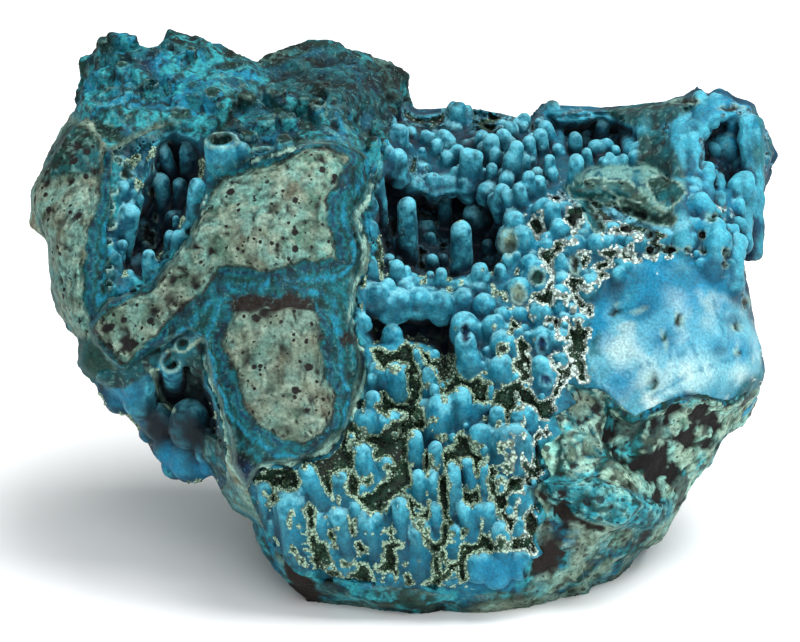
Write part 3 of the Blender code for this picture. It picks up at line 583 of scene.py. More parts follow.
class Relief:
    """The specimen as a grid of distances to its surface, negative inside."""

    def __init__(self):
        step = CELL / GRID
        self.across = np.arange(*ACROSS_SPAN, step, dtype=np.float32)
        self.down = np.arange(*DOWN_SPAN, step, dtype=np.float32)
        self.depth = np.arange(*DEPTH_SPAN, CELL, dtype=np.float32)
        flat_across, flat_down = np.meshgrid(self.across, self.down, indexing="ij")
        self.face = face_depth(flat_across, flat_down).astype(np.float32)
        self.bed = self.bed_under()
        self.growths = growths()
        self.edge = self.edge_map(flat_across, flat_down)
        self.broken = wander(flat_across, flat_down, FIRM)
        crusted = np.maximum.reduce([within(*self.broken, outline, 6) for outline in (
            FRONT_CRUST, LEFT_POCKET_CRUST, LOWER_LEFT_CRUST)])
        floor = FLOOR_DROP * smooth_step(-self.edge / FLOOR_WALL) - RIM_RISE * rim_share(self.edge)
        volume = self.slab((self.face + crusted * floor).astype(np.float32), flat_across, flat_down)
        self.roughen(volume, flat_across, flat_down)
        self.add_growths(volume)
        volume += 0.00010 * noise_volume(volume.shape, 0.0017, 5)
        self.cut_base(volume)
        self.volume = volume
        front = np.where((volume < 0).any(axis=2), self.depth[(volume < 0).argmax(axis=2)], np.nan)
        self.near_front = blurred(front, 0.0011)
        self.wide_front = blurred(front, 0.0042)

    def edge_map(self, across, down):
        """Distance from the edge of the blue, in metres: above 0 where it hides the druse."""
        points = face_to_world(across, down, self.face).reshape(-1, 3)
        amount = cover(np.ravel(across), np.ravel(down), points).reshape(across.shape)
        for root, tip, radius, _ in self.growths:
            share = 0.85 if np.linalg.norm(tip - root) > 1.5 * radius else 0.45
            reach = 1.5 * radius
            low = np.minimum(root, tip)[:2] - reach
            high = np.maximum(root, tip)[:2] + reach
            box = self.box(low, high)
            places = np.stack([across[box], down[box]], axis=-1) * GRID
            _, away = from_segment(places, root[:2], tip[:2])
            amount[box] += share * smooth_step((1.30 - away / radius) / 0.5)
        steepness = np.maximum(np.hypot(*np.gradient(amount, CELL)), COVER_STEEPNESS)
        return np.clip(amount / steepness, -0.004, 0.004)

    def box(self, low, high):
        """The grid's places between two corners, in metres on the face's own axes."""
        lines = ((self.across, GRID), (self.down, GRID), (self.depth, 1))
        return tuple(slice(*np.searchsorted(line, (start / unit, end / unit)))
                     for (line, unit), start, end in zip(lines, low, high))

    def read(self, values, across, down):
        """A value at each place, read between the grid's own places."""
        step = CELL / GRID
        column = np.clip((across - self.across[0]) / step, 0, len(self.across) - 1.001)
        row = np.clip((down - self.down[0]) / step, 0, len(self.down) - 1.001)
        left, top = column.astype(int), row.astype(int)
        right, low = column - left, row - top
        upper = values[left, top] * (1 - right) + values[left + 1, top] * right
        lower = values[left, top + 1] * (1 - right) + values[left + 1, top + 1] * right
        return upper * (1 - low) + lower * low

    def slab(self, face, flat_across, flat_down):
        """Everything between the face and the broken back, inside the silhouette."""
        angle = np.arctan2(flat_down - CENTRE[1], flat_across - CENTRE[0])
        turns = np.linspace(-math.pi, math.pi, 720)
        rim = silhouette_reach(turns)
        rim_depth = face_depth(CENTRE[0] + rim * np.cos(turns), CENTRE[1] + rim * np.sin(turns))
        share = np.hypot(flat_across - CENTRE[0], flat_down - CENTRE[1]) / np.interp(angle, turns, rim)
        edge = np.interp(angle, turns, rim_depth)
        bulge = np.sqrt(np.clip(1 - np.clip(share, 0, 1) ** (2 / 0.62), 0, 1)) ** 0.8
        back = (edge + (DEPTH - edge) * bulge).astype(np.float32)
        inside = distance_inside(flat_across, flat_down, SILHOUETTE) * GRID
        volume = self.level(face) * np.float32(-1)
        np.maximum(volume, self.level(back), out=volume)
        np.maximum(volume, -inside[..., None].astype(np.float32), out=volume)
        for across, down, depth, (right, up, behind) in CHIPS:
            size = math.sqrt(right ** 2 + up ** 2 + behind ** 2)
            plane = ((self.across - across) * GRID * right)[:, None, None]
            plane = plane - ((self.down - down) * GRID * up)[None, :, None]
            plane = plane + ((self.depth - depth * MM) * behind)[None, None, :]
            np.maximum(volume, (plane / size).astype(np.float32), out=volume)
        return volume

    def level(self, height):
        """Distance behind a surface drawn as a depth for each place."""
        slope = np.gradient(height, CELL)
        flatness = 1 / np.sqrt(1 + np.minimum(slope[0] ** 2 + slope[1] ** 2, 16))
        return (self.depth[None, None, :] - height[..., None]) * flatness[..., None].astype(np.float32)

    def roughen(self, volume, flat_across, flat_down):
        """Rough rock everywhere, calmer where the specimen was broken flat, and craggy on the teal mass."""
        calm = np.maximum.reduce([within(*self.broken, outline) for outline in (
            Y_CLAST, SHIELD_CLAST, PALE_FACE)])
        calm = np.maximum(calm, 0.6 * within(*self.broken, SMOOTH_BLUE, 12))
        crag = within(flat_across, flat_down, TEAL_MASS, 16)
        rough = (1 - 0.75 * calm + 0.5 * crag)[..., None].astype(np.float32)
        for size, strength, seed in ((0.014, 0.0007, 1), (0.006, 0.0006, 2), (0.003, 0.00035, 3)):
            volume += strength * rough * noise_volume(volume.shape, size, seed)
        craggy = (0.0022 * crag)[..., None].astype(np.float32)
        volume += craggy * (np.abs(noise_volume(volume.shape, 0.0052, 4)) - 0.45)
        volume += 0.6 * craggy * (np.abs(noise_volume(volume.shape, 0.0026, 6)) - 0.45)

    def add_growths(self, volume):
        """Joins the fingers and mounds to the face."""
        for root, tip, radius, kind in self.growths:
            low = np.minimum(root, tip) - radius - 4 * JOIN
            high = np.maximum(root, tip) + radius + 4 * JOIN
            box = self.box(low, high)
            places = np.stack(np.meshgrid(self.across[box[0]] * GRID, self.down[box[1]] * GRID,
                                          self.depth[box[2]], indexing="ij"), axis=-1)
            reach = capsule(places, root, tip, radius, kind)
            here = volume[box]
            share = np.clip(0.5 + 0.5 * (here - reach) / JOIN, 0, 1)
            volume[box] = here + (reach - here) * share - JOIN * share * (1 - share)

    def cut_base(self, volume):
        """Cuts the underside flat at height 0, and the tallest knobs at TALLEST."""
        height = (BASE_DOWN - self.down) * GRID * math.cos(LEAN)
        height = height[:, None] - self.depth * math.sin(LEAN) + BASE_DEPTH * math.sin(LEAN)
        np.maximum(volume, -height[None].astype(np.float32), out=volume)
        np.maximum(volume, (height[None] - TALLEST).astype(np.float32), out=volume)

    def bed_under(self):
        """Depth of the rock under a crust, behind the deepest face within BED_REACH."""
        reach = int(round(BED_REACH / CELL))
        deepest = self.face
        for axis in (0, 1):
            deepest = np.maximum.reduce([np.roll(deepest, shift, axis) for shift in range(-reach, reach + 1)])
        return deepest + np.float32(CRUST_THICKNESS)

    def column(self, outline):
        """Negative in the space in front of the bed inside an outline."""
        inside = distance_inside(*self.broken, outline) * GRID
        behind = self.depth[None, None, :] - self.bed[..., None]
        return np.maximum(behind, -inside[..., None].astype(np.float32))

    def surface(self, volume):
        """Points in metres and faces of the zero level of a grid of distances."""
        limit = BAND * CELL
        grid = openvdb.FloatGrid(background=limit)
        grid.copyFromArray(np.clip(volume, -limit, limit), tolerance=1e-7)
        places, faces = grid.convertToQuads(isovalue=0.0)
        step = CELL / GRID
        points = face_to_world(self.across[0] + places[:, 0] * step, self.down[0] + places[:, 1] * step,
                               self.depth[0] + places[:, 2] * CELL)
        return without_bits(points, faces.astype(np.int32))


def without_bits(points, faces):
    """Leaves out the loose bits of a mesh: whatever hangs together in fewer than LEAST_POINTS points."""
    group = np.arange(len(points))
    corners = np.roll(faces, -1, axis=1)
    while True:
        lowest = np.minimum(group[faces], group[corners])
        joined = group.copy()
        np.minimum.at(joined, faces.ravel(), lowest.ravel())
        np.minimum.at(joined, corners.ravel(), lowest.ravel())
        joined = joined[joined]
        if (joined == group).all():
            break
        group = joined
    large = np.bincount(group, minlength=len(points))[group] >= LEAST_POINTS
    index = np.cumsum(large) - 1
    return points[large], index[faces[large[faces[:, 0]]]].astype(np.int32)


def blurred(values, reach):
    """Values averaged over a square window, twice, leaving out empty places."""
    known = np.isfinite(values).astype(float)
    total = np.nan_to_num(values)
    cells_each_way = int(round(reach / CELL))
    for _ in range(2):
        for axis in (0, 1):
            total = window_sum(total, cells_each_way, axis)
            known = window_sum(known, cells_each_way, axis)
    return total / np.maximum(known, 1e-6)


def window_sum(values, reach, axis):
    """Sums over a window of reach cells each way along one axis."""
    edges = [(0, 0), (0, 0)]
    edges[axis] = (reach + 1, reach)
    running = np.cumsum(np.pad(values, edges), axis=axis)
    width = 2 * reach + 1
    ahead = np.take(running, range(width, running.shape[axis]), axis=axis)
    behind = np.take(running, range(running.shape[axis] - width), axis=axis)
    return (ahead - behind) / width


def mesh_object(name, points, faces):
    """A mesh object from arrays of points and quads."""
    mesh = bpy.data.meshes.new(name)
    mesh.vertices.add(len(points))
    mesh.vertices.foreach_set("co", points.astype(np.float32).ravel())
    mesh.loops.add(faces.size)
    mesh.loops.foreach_set("vertex_index", faces.ravel())
    mesh.polygons.add(len(faces))
    mesh.polygons.foreach_set("loop_start", np.arange(0, faces.size, faces.shape[1], dtype=np.int32))
    mesh.update(calc_edges=True)
    mesh.shade_smooth()
    made = bpy.data.objects.new(name, mesh)
    bpy.context.scene.collection.objects.link(made)
    return made


def vertex_values(values, name):
    """Three numbers for each point of a mesh, as rows."""
    flat = np.empty(len(values) * 3, np.float32)
    values.foreach_get(name, flat)
    return flat.reshape(-1, 3).astype(float)


def points_of(piece):
    """Where the points of a piece are, in metres."""
    return vertex_values(piece.data.vertices, "co")


def normals_of(piece):
    """Which way the surface faces at each point of a piece."""
    return vertex_values(piece.data.vertex_normals, "vector")


def move_points(piece, points):
    """Puts the points of a piece elsewhere."""
    piece.data.vertices.foreach_set("co", points.astype(np.float32).ravel())
    piece.data.update()


def store(piece, name, values):
    """Keeps a number or a colour for each point of a mesh."""
    if values.ndim == 1:
        layer = piece.data.attributes.new(name, "FLOAT", "POINT")
        layer.data.foreach_set("value", values.astype(np.float32))
    else:
        layer = piece.data.attributes.new(name, "FLOAT_COLOR", "POINT")
        full = np.concatenate([values, np.ones((len(values), 1))], axis=1)
        layer.data.foreach_set("color", full.astype(np.float32).ravel())


def triangles(piece):
    """How many triangles a mesh makes."""
    return len(piece.data.loops) - 2 * len(piece.data.polygons)


def collapse(piece, ratio, group=""):
    """Joins the points of a mesh where that changes its shape least, inside a group or all over."""
    modifier = piece.modifiers.new("collapse", "DECIMATE")
    modifier.ratio = ratio
    modifier.vertex_group = group
    graph = bpy.context.evaluated_depsgraph_get()
    mesh = bpy.data.meshes.new_from_object(piece.evaluated_get(graph))
    piece.modifiers.clear()
    piece.data = mesh


def thin(piece, hidden, most):
    """Thins a mesh where it is out of sight, and then all over until it has no more triangles than most."""
    group = piece.vertex_groups.new(name="hidden")
    group.add(np.flatnonzero(hidden).tolist(), 1.0, "REPLACE")
    collapse(piece, 1 - HIDDEN_THINNED * hidden.mean(), group.name)
    piece.vertex_groups.clear()
    if triangles(piece) > most:
        collapse(piece, most / triangles(piece))
    piece.data.shade_smooth()


# Crust: areas of the blue

RIGHT_LOBE = [
    (668, 232), (676, 200), (668, 150), (672, 110), (690, 92), (760, 80), (795, 150), (780, 300),
    (740, 300), (705, 285), (672, 285),
]
PITS_ZONE = [
    (500, 200), (560, 188), (620, 205), (668, 232), (672, 285), (640, 318), (590, 345), (588, 372),
    (560, 382), (520, 378), (490, 350), (494, 300), (505, 250),
]
RIM_STRIP = [(350, 278), (366, 268), (378, 274), (372, 305), (352, 318)]
LOW_STRIP = [(356, 332), (370, 352), (380, 385), (362, 402), (350, 424)]
BACK_ROWS = [(372, 110), (450, 100), (545, 115), (560, 185), (500, 215), (372, 190)]
DEEP_POCKET = [
    (368, 180), (392, 160), (480, 180), (508, 215), (512, 255), (498, 292), (440, 292), (370, 284),
]
SLOPE = [
    (250, 470), (325, 448), (364, 395), (366, 350), (450, 350), (500, 380), (560, 384), (540, 470),
    (528, 590), (290, 575),
]
LOW_SLOPE = [
    (250, 470), (300, 464), (345, 446), (380, 440), (460, 450), (540, 470), (530, 560), (468, 552),
    (400, 585), (300, 575),
]
BULBS = [(468, 555), (530, 552), (530, 595), (468, 595)]
SMOOTH_BLUE = [
    (598, 300), (604, 280), (628, 266), (664, 256), (700, 268), (738, 280), (752, 305), (742, 312),
    (725, 298), (700, 293), (640, 322), (620, 322), (600, 337), (588, 345),
]
PALE_FACE = [
    (590, 345), (600, 335), (620, 318), (640, 320), (700, 290), (725, 295), (740, 305), (760, 340),
    (764, 372), (745, 384), (730, 402), (710, 402), (695, 396), (680, 392), (660, 404), (645, 417),
    (632, 418), (620, 408), (610, 393), (600, 385), (588, 370), (586, 355),
]
BLUE = srgb(12, 104, 130)
# Dark blue of the crust, also used as painted shade
DEEP_BLUE_AND_SHADE = srgb(3, 38, 56)
TEAL_BLUE = srgb(8, 92, 112)
# Lighter blues painted as highlights on tips and proud places
BLUE_HIGHLIGHT = srgb(66, 164, 184)
PALE_HIGHLIGHT = srgb(122, 186, 198)
AZURE = srgb(4, 112, 148)
PALE = srgb(96, 164, 180)
CREAM = srgb(152, 182, 158)
PALE_RIM = srgb(138, 172, 158)
DRUSE = srgb(18, 26, 20)
DRUSE_GREEN = srgb(26, 64, 46)
OLIVE = srgb(66, 84, 58)
INDIGO = srgb(6, 44, 74)
NIGHT = srgb(5, 14, 20)
SHADOW = np.array([0.06, 0.12, 0.16])


# How thickly the blue covers each area: (outline, thickness, width of its edge)
COVER = [
    (SLOPE, -0.34, 20), (LOW_SLOPE, -0.46, 16), (RIM_STRIP, 0.0, 8), (LOW_STRIP, 0.0, 8),
    (BACK_ROWS, -0.1, 16), (PITS_ZONE, -0.2, 16), (DEEP_POCKET, -0.2, 16), (RIGHT_LOBE, 0.4, 16),
    (SMOOTH_BLUE, 1.0, 16), (PALE_FACE, 1.8, 8), (BULBS, 0.9, 12), (LOWER_LEFT_CRUST, 0.35, 10),
    (LEFT_POCKET_CRUST, 0.05, 12),
]


def cover(across, down, points):
    """How thickly blue covers the druse: above 0 it hides it."""
    amount = np.full(len(across), 0.45)
    for outline, value, softness in COVER:
        amount = amount + (value - amount) * within(across, down, outline, softness)
    return amount + 0.34 * noise(points, 0.0030, 21, 2) + 0.42 * noise(points, 0.0013, 23, 2)


def rim_share(edge):
    """1 along the rims where the blue ends, and 0 away from them."""
    return np.exp(-((edge - 0.2 * RIM_WIDTH) / RIM_WIDTH) ** 2)


def growth_share(points, made):
    """How much each point belongs to a finger or mound (0 to 1), and how high on it each lies."""
    face = on_face_axes(points)
    belongs = np.zeros(len(points))
    tipward = np.zeros(len(points))
    order = np.argsort(face[:, 0])
    sorted_across = face[order, 0]
    for root, tip, radius, kind in made:
        low = np.minimum(root, tip) - 1.9 * radius
        high = np.maximum(root, tip) + 1.9 * radius
        near = order[slice(*np.searchsorted(sorted_across, (low[0], high[0])))]
        near = near[((face[near] > low) & (face[near] < high)).all(axis=1)]
        if len(near):
            share = np.clip(1 - capsule(face[near], root, tip, radius, kind) / (0.7 * radius), 0, 1)
            better = near[share > belongs[near]]
            belongs[better] = share[share > belongs[near]]
            foot = min(root[1], tip[1] + 3.5 * radius) + radius
            tipward[better] = np.clip((foot - face[better, 1]) / (foot - tip[1] + radius), 0, 1)
    return belongs, tipward


def depth_in_hollows(relief, across, down, depth, near_scale, wide_scale):
    """How far points lie behind the face round them: in a narrow gap, and in a wide hollow."""
    return ((depth - relief.read(relief.near_front, across, down)) / near_scale,
            (depth - relief.read(relief.wide_front, across, down)) / wide_scale)


def clear_of_edge(across, down):
    """1 well inside the silhouette, falling to 0 at its edge."""
    return smooth_step(distance_inside(across, down, SILHOUETTE) / 16 - 0.2)


def dress_crust(piece, relief, outline, seam_reach, bed_side):
    """Roughens and colours one crust: velvety blue with rimmed holes that show the druse."""
    points = points_of(piece)
    across, down, depth = world_to_face(points)
    broken = wander(across, down, FIRM)
    belongs, tipward = growth_share(points, relief.growths)
    edge = relief.read(relief.edge, across, down)
    smooth_zone = within(*broken, PALE_FACE, 8)
    calm_blue = within(*broken, SMOOTH_BLUE, 14)
    lobe = within(across, down, RIGHT_LOBE, 20)

    # Lumps: lobes in the blue, grains on the floors and rims, knobs on the right lobe, and hollow ends
    floor = smooth_step(-edge / 0.0004)
    lift = 0.00024 * (0.7 - cells(points, 0.0017, 31)[0]) * (1 - floor) * (1 - 0.8 * smooth_zone)
    lift += 0.00024 * (0.6 - cells(points, 0.0008, 37)[0]) * np.maximum(floor, rim_share(edge))
    lift += 0.0008 * (0.6 - cells(points, 0.0027, 39)[0]) * lobe * (1 - 0.5 * calm_blue)
    for *place, _ in ENDS:
        lift -= 0.0007 * smooth_step((1 - ellipse(across, down, *place)) * 2)
    move_points(piece, points + normals_of(piece) * np.where(bed_side, 0, lift)[:, None])

    # The blue, with painted shade in its gaps and hollows and at the feet of the fingers, and painted
    # highlights on the fingers' tips and on what stands proud
    near, wide = depth_in_hollows(relief, across, down, depth, 0.0010, 0.0045)
    mottle = noise(points, 0.0045, 41, 3)
    fine = noise(points, 0.0009, 43, 2)
    clouds = noise(points, 0.0034, 53, 3)
    # Painted shade: darker blue in narrow gaps and wide hollows, over a random mottle
    body = blend(BLUE, DEEP_BLUE_AND_SHADE, 0.20 + 0.5 * mottle + 0.4 * wide + 0.2 * near)
    body = mottled(points, body, (TEAL_BLUE, 0.8, 0.4, 1.2, 0.0028, 45))
    # Painted shade in the pockets where less light gets in
    for area, share in DIM_AREAS:
        body = blend(body, DEEP_BLUE_AND_SHADE, share * within(*broken, area, 12))
    for colour, share in (
            (AZURE, 0.85 * np.maximum(lobe, calm_blue) * (0.7 + 0.5 * mottle)),
            (PALE, calm_blue * smooth_step(1.3 * clouds - 0.35) * 0.6),
            (BLUE, calm_blue * smooth_step(-1.3 * clouds + 0.25) * 0.6),
            # Painted shade at the feet of the fingers, and painted highlights towards their tips
            (DEEP_BLUE_AND_SHADE, 0.95 * belongs * smooth_step(0.85 - 1.3 * tipward + 0.3 * fine)),
            (BLUE_HIGHLIGHT, 0.60 * belongs * smooth_step(1.7 * tipward - 0.8 + 0.3 * fine)),
            (PALE_HIGHLIGHT, 0.72 * belongs * smooth_step(3.5 * tipward - 2.4 + 0.5 * fine) * (1 - 0.3 * lobe)),
            # Painted shade in the lobe's recesses, and lighter blue on its knobs, part random patches and part
            # painted highlight on what stands proud
            (DEEP_BLUE_AND_SHADE, 0.8 * lobe * (1 - calm_blue) * np.clip(near, 0, 1)),
            (BLUE_HIGHLIGHT, 0.5 * lobe * (1 - calm_blue) * smooth_step(0.2 + 1.4 * clouds - 0.8 * near))):
        body = blend(body, colour, share)
    body = blend(body, body * 0.55, 0.8 * patches(points, -0.1, 1.6, 0.0021, 55, 3) * (1 - smooth_zone))
    # Painted highlight where the blue stands proud of the face round it
    body = blend(body, BLUE_HIGHLIGHT, 0.35 * np.clip(-near, 0, 1) * (1 + fine))
    body = blend(body, PALE, smooth_zone * (0.85 + 0.45 * mottle))
    body = blend(body, WHITE_RIM, 0.35 * smooth_zone * patches(points, -0.2, 1.6, 0.0030, 49, 3))
    for across0, down0, reach, colour, share in BLOOMS:
        closeness = smooth_step(1.2 - np.hypot(across - across0, down - down0) / reach + 0.25 * mottle)
        body = blend(body, colour, share * closeness)
    # Painted shade along the folds of the pale face
    for line in CREASES:
        body = blend(body, BLUE, 0.7 * smooth_step(1.6 - line_distance(across, down, line) / 1.2))

    # What lies over the blue; painted is how much of it hides the rims and holes
    seam = smooth_step(1.1 - (distance_inside(*broken, outline) + 4 * mottle) / seam_reach)
    painted = 0.9 * seam * (1 - smooth_zone)
    tint = blend(body, teal_colours(points), painted)
    dark_green = dark_green_colours(points)
    for area in DARK_AREAS:
        dark = (0.6 if area is CREST else 0.9) * within(*broken, area, 5)
        tint = blend(tint, dark_green, dark)
        painted = np.maximum(painted, dark)
    tint = blend(tint, MINT, 0.55 * (within(*broken, CREST, 5) * patches(points, 0.7, 1.6, 0.0015, 211)))
    for line, width, colour in PALE_STROKES:
        stroke = 0.75 * smooth_step((width - line_distance(*broken, line)) / 2 + 0.5)
        tint = blend(tint, colour, stroke)
        painted = np.maximum(painted, stroke)
    for area in GREEN_EDGES:
        green = 0.8 * within(*broken, area, 5) * patches(points, 0.8, 1, 0.0018, 143)
        tint = blend(tint, blend(dark_green, TEAL, 0.4), green)
    tint, sections = paint_sections(tint, points, broken, relief.growths, 0.75)
    for *place, kind in ENDS:
        away = ellipse(across, down, *place) + 0.15 * noise(points, 0.0010, 145, 2)
        end = smooth_step((1 - away) * 4)
        tint = blend(tint, END_COLOURS[kind] * (0.3 + smooth_step(0.5 + 1.5 * fine))[:, None], end)
        ring = np.exp(-((away - 1.08) / 0.16) ** 2)
        tint = blend(tint, PALE if kind == "blue" else PALE_RIM, 0.7 * ring)
        sections = np.maximum(sections, np.maximum(end, ring))
    store(piece, "tint", np.clip(tint, 0, 1))

    # Druse and rims, which show where the distance from the blue's edge is near 0 or under it
    druse = blend(DRUSE * 0.7, DRUSE_GREEN, 0.35 + 0.7 * noise(points, 0.0016, 47, 2))
    store(piece, "druse", np.clip(druse, 0, 1))
    shown = np.where(bed_side, 1, np.maximum(painted, sections))
    edge = edge + (0.003 - edge) * smooth_step(shown * 2)
    store(piece, "edge", edge)
    rim = blend(CREAM, WHITE_RIM, smooth_step((across - 480) / 80))
    store(piece, "rim", blend(rim, TEAL_BLUE * 1.5, 0.85 * smooth_step((depth - FAR_RIMS) / 0.008)))
    # Painted shade in narrow gaps and wide hollows, which the material darkens towards SHADOW
    dim = 0.75 * smooth_step(wide - 0.25) + 0.3 * smooth_step(near - 0.3)
    store(piece, "dim", np.clip(dim, 0, 0.9) * clear_of_edge(across, down))
    return edge


def paint_sections(tint, points, broken, made, strength):
    """Broken ends of old fingers, a speckled dark heart inside a pale rim.

    Returns the new colours and how much of each point was painted.
    """
    heart = dark_green_colours(points)
    grey = blend(heart, GREY_GREEN, 0.45 + 0.8 * noise(points, 0.0012, 151, 2))
    painted = np.zeros(len(points))
    for outline, greyness in SECTIONS:
        inside = distance_inside(*broken, outline) + SECTION_GROWN + 0.8 * noise(points, 0.001, 157)
        share = smooth_step(inside / 2 + 0.5)
        tint = blend(tint, blend(heart, grey, greyness), share)
        tint = blend(tint, PALE_RIM, 0.8 * np.exp(-(inside / 0.8) ** 2))
        painted = np.maximum(painted, share)
    place = on_face_axes(points)
    worn = patches(points, 0.5, 1.3, 0.0014, 159)
    for root, tip, radius, kind in made:
        if kind != "round":
            near = np.flatnonzero(np.linalg.norm(place - tip, axis=1) < 2 * radius)
            over, away = across_the_end(place[near], root, tip)
            away = away / radius
            end = smooth_step(2.4 - away * 2.4 if kind == "cup" else 1.5 + over / 0.0004)
            rim = np.exp(-((away - 0.90) / 0.10) ** 2) * smooth_step(2 + over / 0.0004)
            heart_share = end * smooth_step((0.95 - away) * 6)
            tint[near] = blend(tint[near], heart[near] * 0.8, heart_share)
            tint[near] = blend(tint[near], PALE_RIM, strength * rim * worn[near])
            painted[near] = np.maximum(painted[near], np.maximum(heart_share, rim))
    return tint, painted


def dark_green_colours(points):
    """Dark green chrysocolla with black and pale specks."""
    green = blend(DARK_GREEN, TEAL, 0.2 + 0.6 * noise(points, 0.003, 139, 2))
    green = mottled(points, green, (DRUSE, 1, 0, 1, 0.0012, 141))
    return blend(green, MINT, 0.3 * smooth_step((noise(points, 0.0006, 149, 2) - 0.45) / 0.3))


# Broken ends of old fingers: (outline, how grey their heart is)
SECTIONS = [
    ([(570, 187), (590, 179), (604, 181), (616, 192), (624, 204), (612, 207), (598, 200), (585, 205),
      (572, 199)], 0.1),
    ([(578, 202), (589, 201), (600, 216), (607, 229), (598, 232), (588, 217)], 0.0),
    ([(622, 201), (640, 197), (656, 206), (668, 212), (677, 218), (672, 226), (655, 224), (640, 219),
      (627, 211)], 0.4),
    ([(646, 182), (662, 178), (676, 184), (684, 194), (680, 202), (668, 206), (655, 198)], 0.1),
    ([(605, 185), (625, 183), (646, 196), (640, 199), (622, 197)], 0.3),
]
SECTION_GROWN = 1.5
# Pale bands under the crest and seams in the lower left hollow: (line, half width, colour)
PALE_STROKES = [
    ([(610, 210), (626, 219), (650, 226), (670, 232), (686, 224)], 4.0, PALE),
    ([(152, 372), (158, 386), (167, 400), (176, 409)], 2.6, CREAM),
    ([(168, 350), (184, 349), (200, 340)], 2.0, CREAM),
]
# Broken ends that face outwards: (across, down, half width, half height, kind)
ENDS = [
    (465, 333, 5, 11, 'blue'), (541, 345, 5, 9, 'blue'), (545, 380, 6, 6, 'blue'),
    (508, 242, 8, 12, 'pale'), (518, 293, 7, 9, 'pale'), (538, 277, 7, 8, 'green'),
    (733, 106, 12, 3, 'olive'), (688, 99, 12, 3, 'olive'), (712, 218, 5, 4, 'green'),
    (702, 235, 4, 4, 'olive'), (703, 251, 4, 3, 'olive'), (725, 252, 4, 4, 'green'),
    (724, 265, 4, 3, 'olive'), (650, 235, 5, 4, 'olive'), (650, 250, 4, 4, 'olive'),
    (669, 250, 9, 4, 'olive'), (687, 250, 4, 3, 'olive'), (575, 265, 5, 9, 'olive'),
    (612, 311, 6, 5, 'green'), (440, 338, 5, 4, 'pale'), (642, 311, 4, 4, 'olive'),
    (678, 320, 4, 8, 'olive'), (664, 336, 3, 6, 'green'), (737, 354, 3, 4, 'olive'),
    (652, 381, 5, 9, 'green'), (746, 303, 4, 6, 'olive'), (738, 328, 5, 3, 'olive'),
]
# Folds in the pale face, painted as darker blue lines of shade
CREASES = [
    [(600, 392), (625, 372), (652, 362), (690, 352)],
    [(640, 405), (668, 385), (705, 368), (752, 352)],
    [(668, 330), (690, 345), (700, 366)],
    [(712, 300), (722, 330), (742, 350)],
]
# Areas of green and dark green over the blue
GREEN_EDGES = [
    [(755, 98), (768, 118), (780, 150), (770, 180), (758, 176), (756, 140)],
    [(745, 380), (764, 368), (770, 395), (740, 420), (728, 404)],
    [(590, 340), (604, 330), (600, 352), (592, 372), (584, 366)],
]
FLAT_TOP = [(604, 108), (640, 100), (696, 92), (702, 100), (670, 119), (655, 126), (628, 123), (612, 117)]
GREEN_MASS = [
    (640, 128), (656, 122), (668, 130), (678, 155), (685, 178), (664, 176), (642, 182), (634, 162),
]
UNDER_ARM = [
    (78, 340), (98, 338), (125, 364), (150, 352), (168, 344), (152, 372), (126, 386), (102, 388), (76, 368),
]
GREEN_FOOT = [(205, 436), (228, 432), (230, 474), (216, 476), (202, 460)]
OLIVE_HOLLOW = [(180, 346), (202, 338), (207, 366), (202, 398), (188, 404), (182, 380)]
DARK_AREAS = [FLAT_TOP, GREEN_MASS, CREST, UNDER_ARM, GREEN_FOOT, OLIVE_HOLLOW]
# Where less light gets in: (outline, how dim)
DIM_AREAS = [
    ([(104, 150), (150, 140), (200, 140), (204, 200), (160, 280), (105, 292)], 0.6),
    (DEEP_POCKET, 0.6),
    ([(150, 352), (206, 340), (226, 420), (226, 452), (160, 440), (140, 410)], 0.5),
    ([(372, 110), (450, 104), (545, 118), (560, 185), (500, 215), (372, 190)], 0.4),
    ([(690, 120), (748, 118), (750, 160), (735, 200), (700, 200)], 0.5),
]


# Rock

GREY_GREEN = srgb(74, 106, 90)
TAN = srgb(98, 94, 76)
PALE_ROCK = srgb(134, 150, 132)
PIT = srgb(16, 14, 14)
TEAL = srgb(8, 92, 102)
BRIGHT_TEAL = srgb(40, 140, 148)
NAVY = srgb(4, 36, 62)
VEIN_BLUE = srgb(16, 116, 146)
DARK_GREEN = srgb(4, 46, 40)
MINT = srgb(118, 168, 158)
TURQUOISE = srgb(40, 134, 146)
CREVICE_SHADE = srgb(24, 18, 14)
WHITE_RIM = srgb(196, 216, 208)
SEAM = srgb(140, 178, 164)
END_COLOURS = {"blue": INDIGO, "olive": DRUSE * 1.5, "green": DARK_GREEN, "pale": CREAM * 0.45}
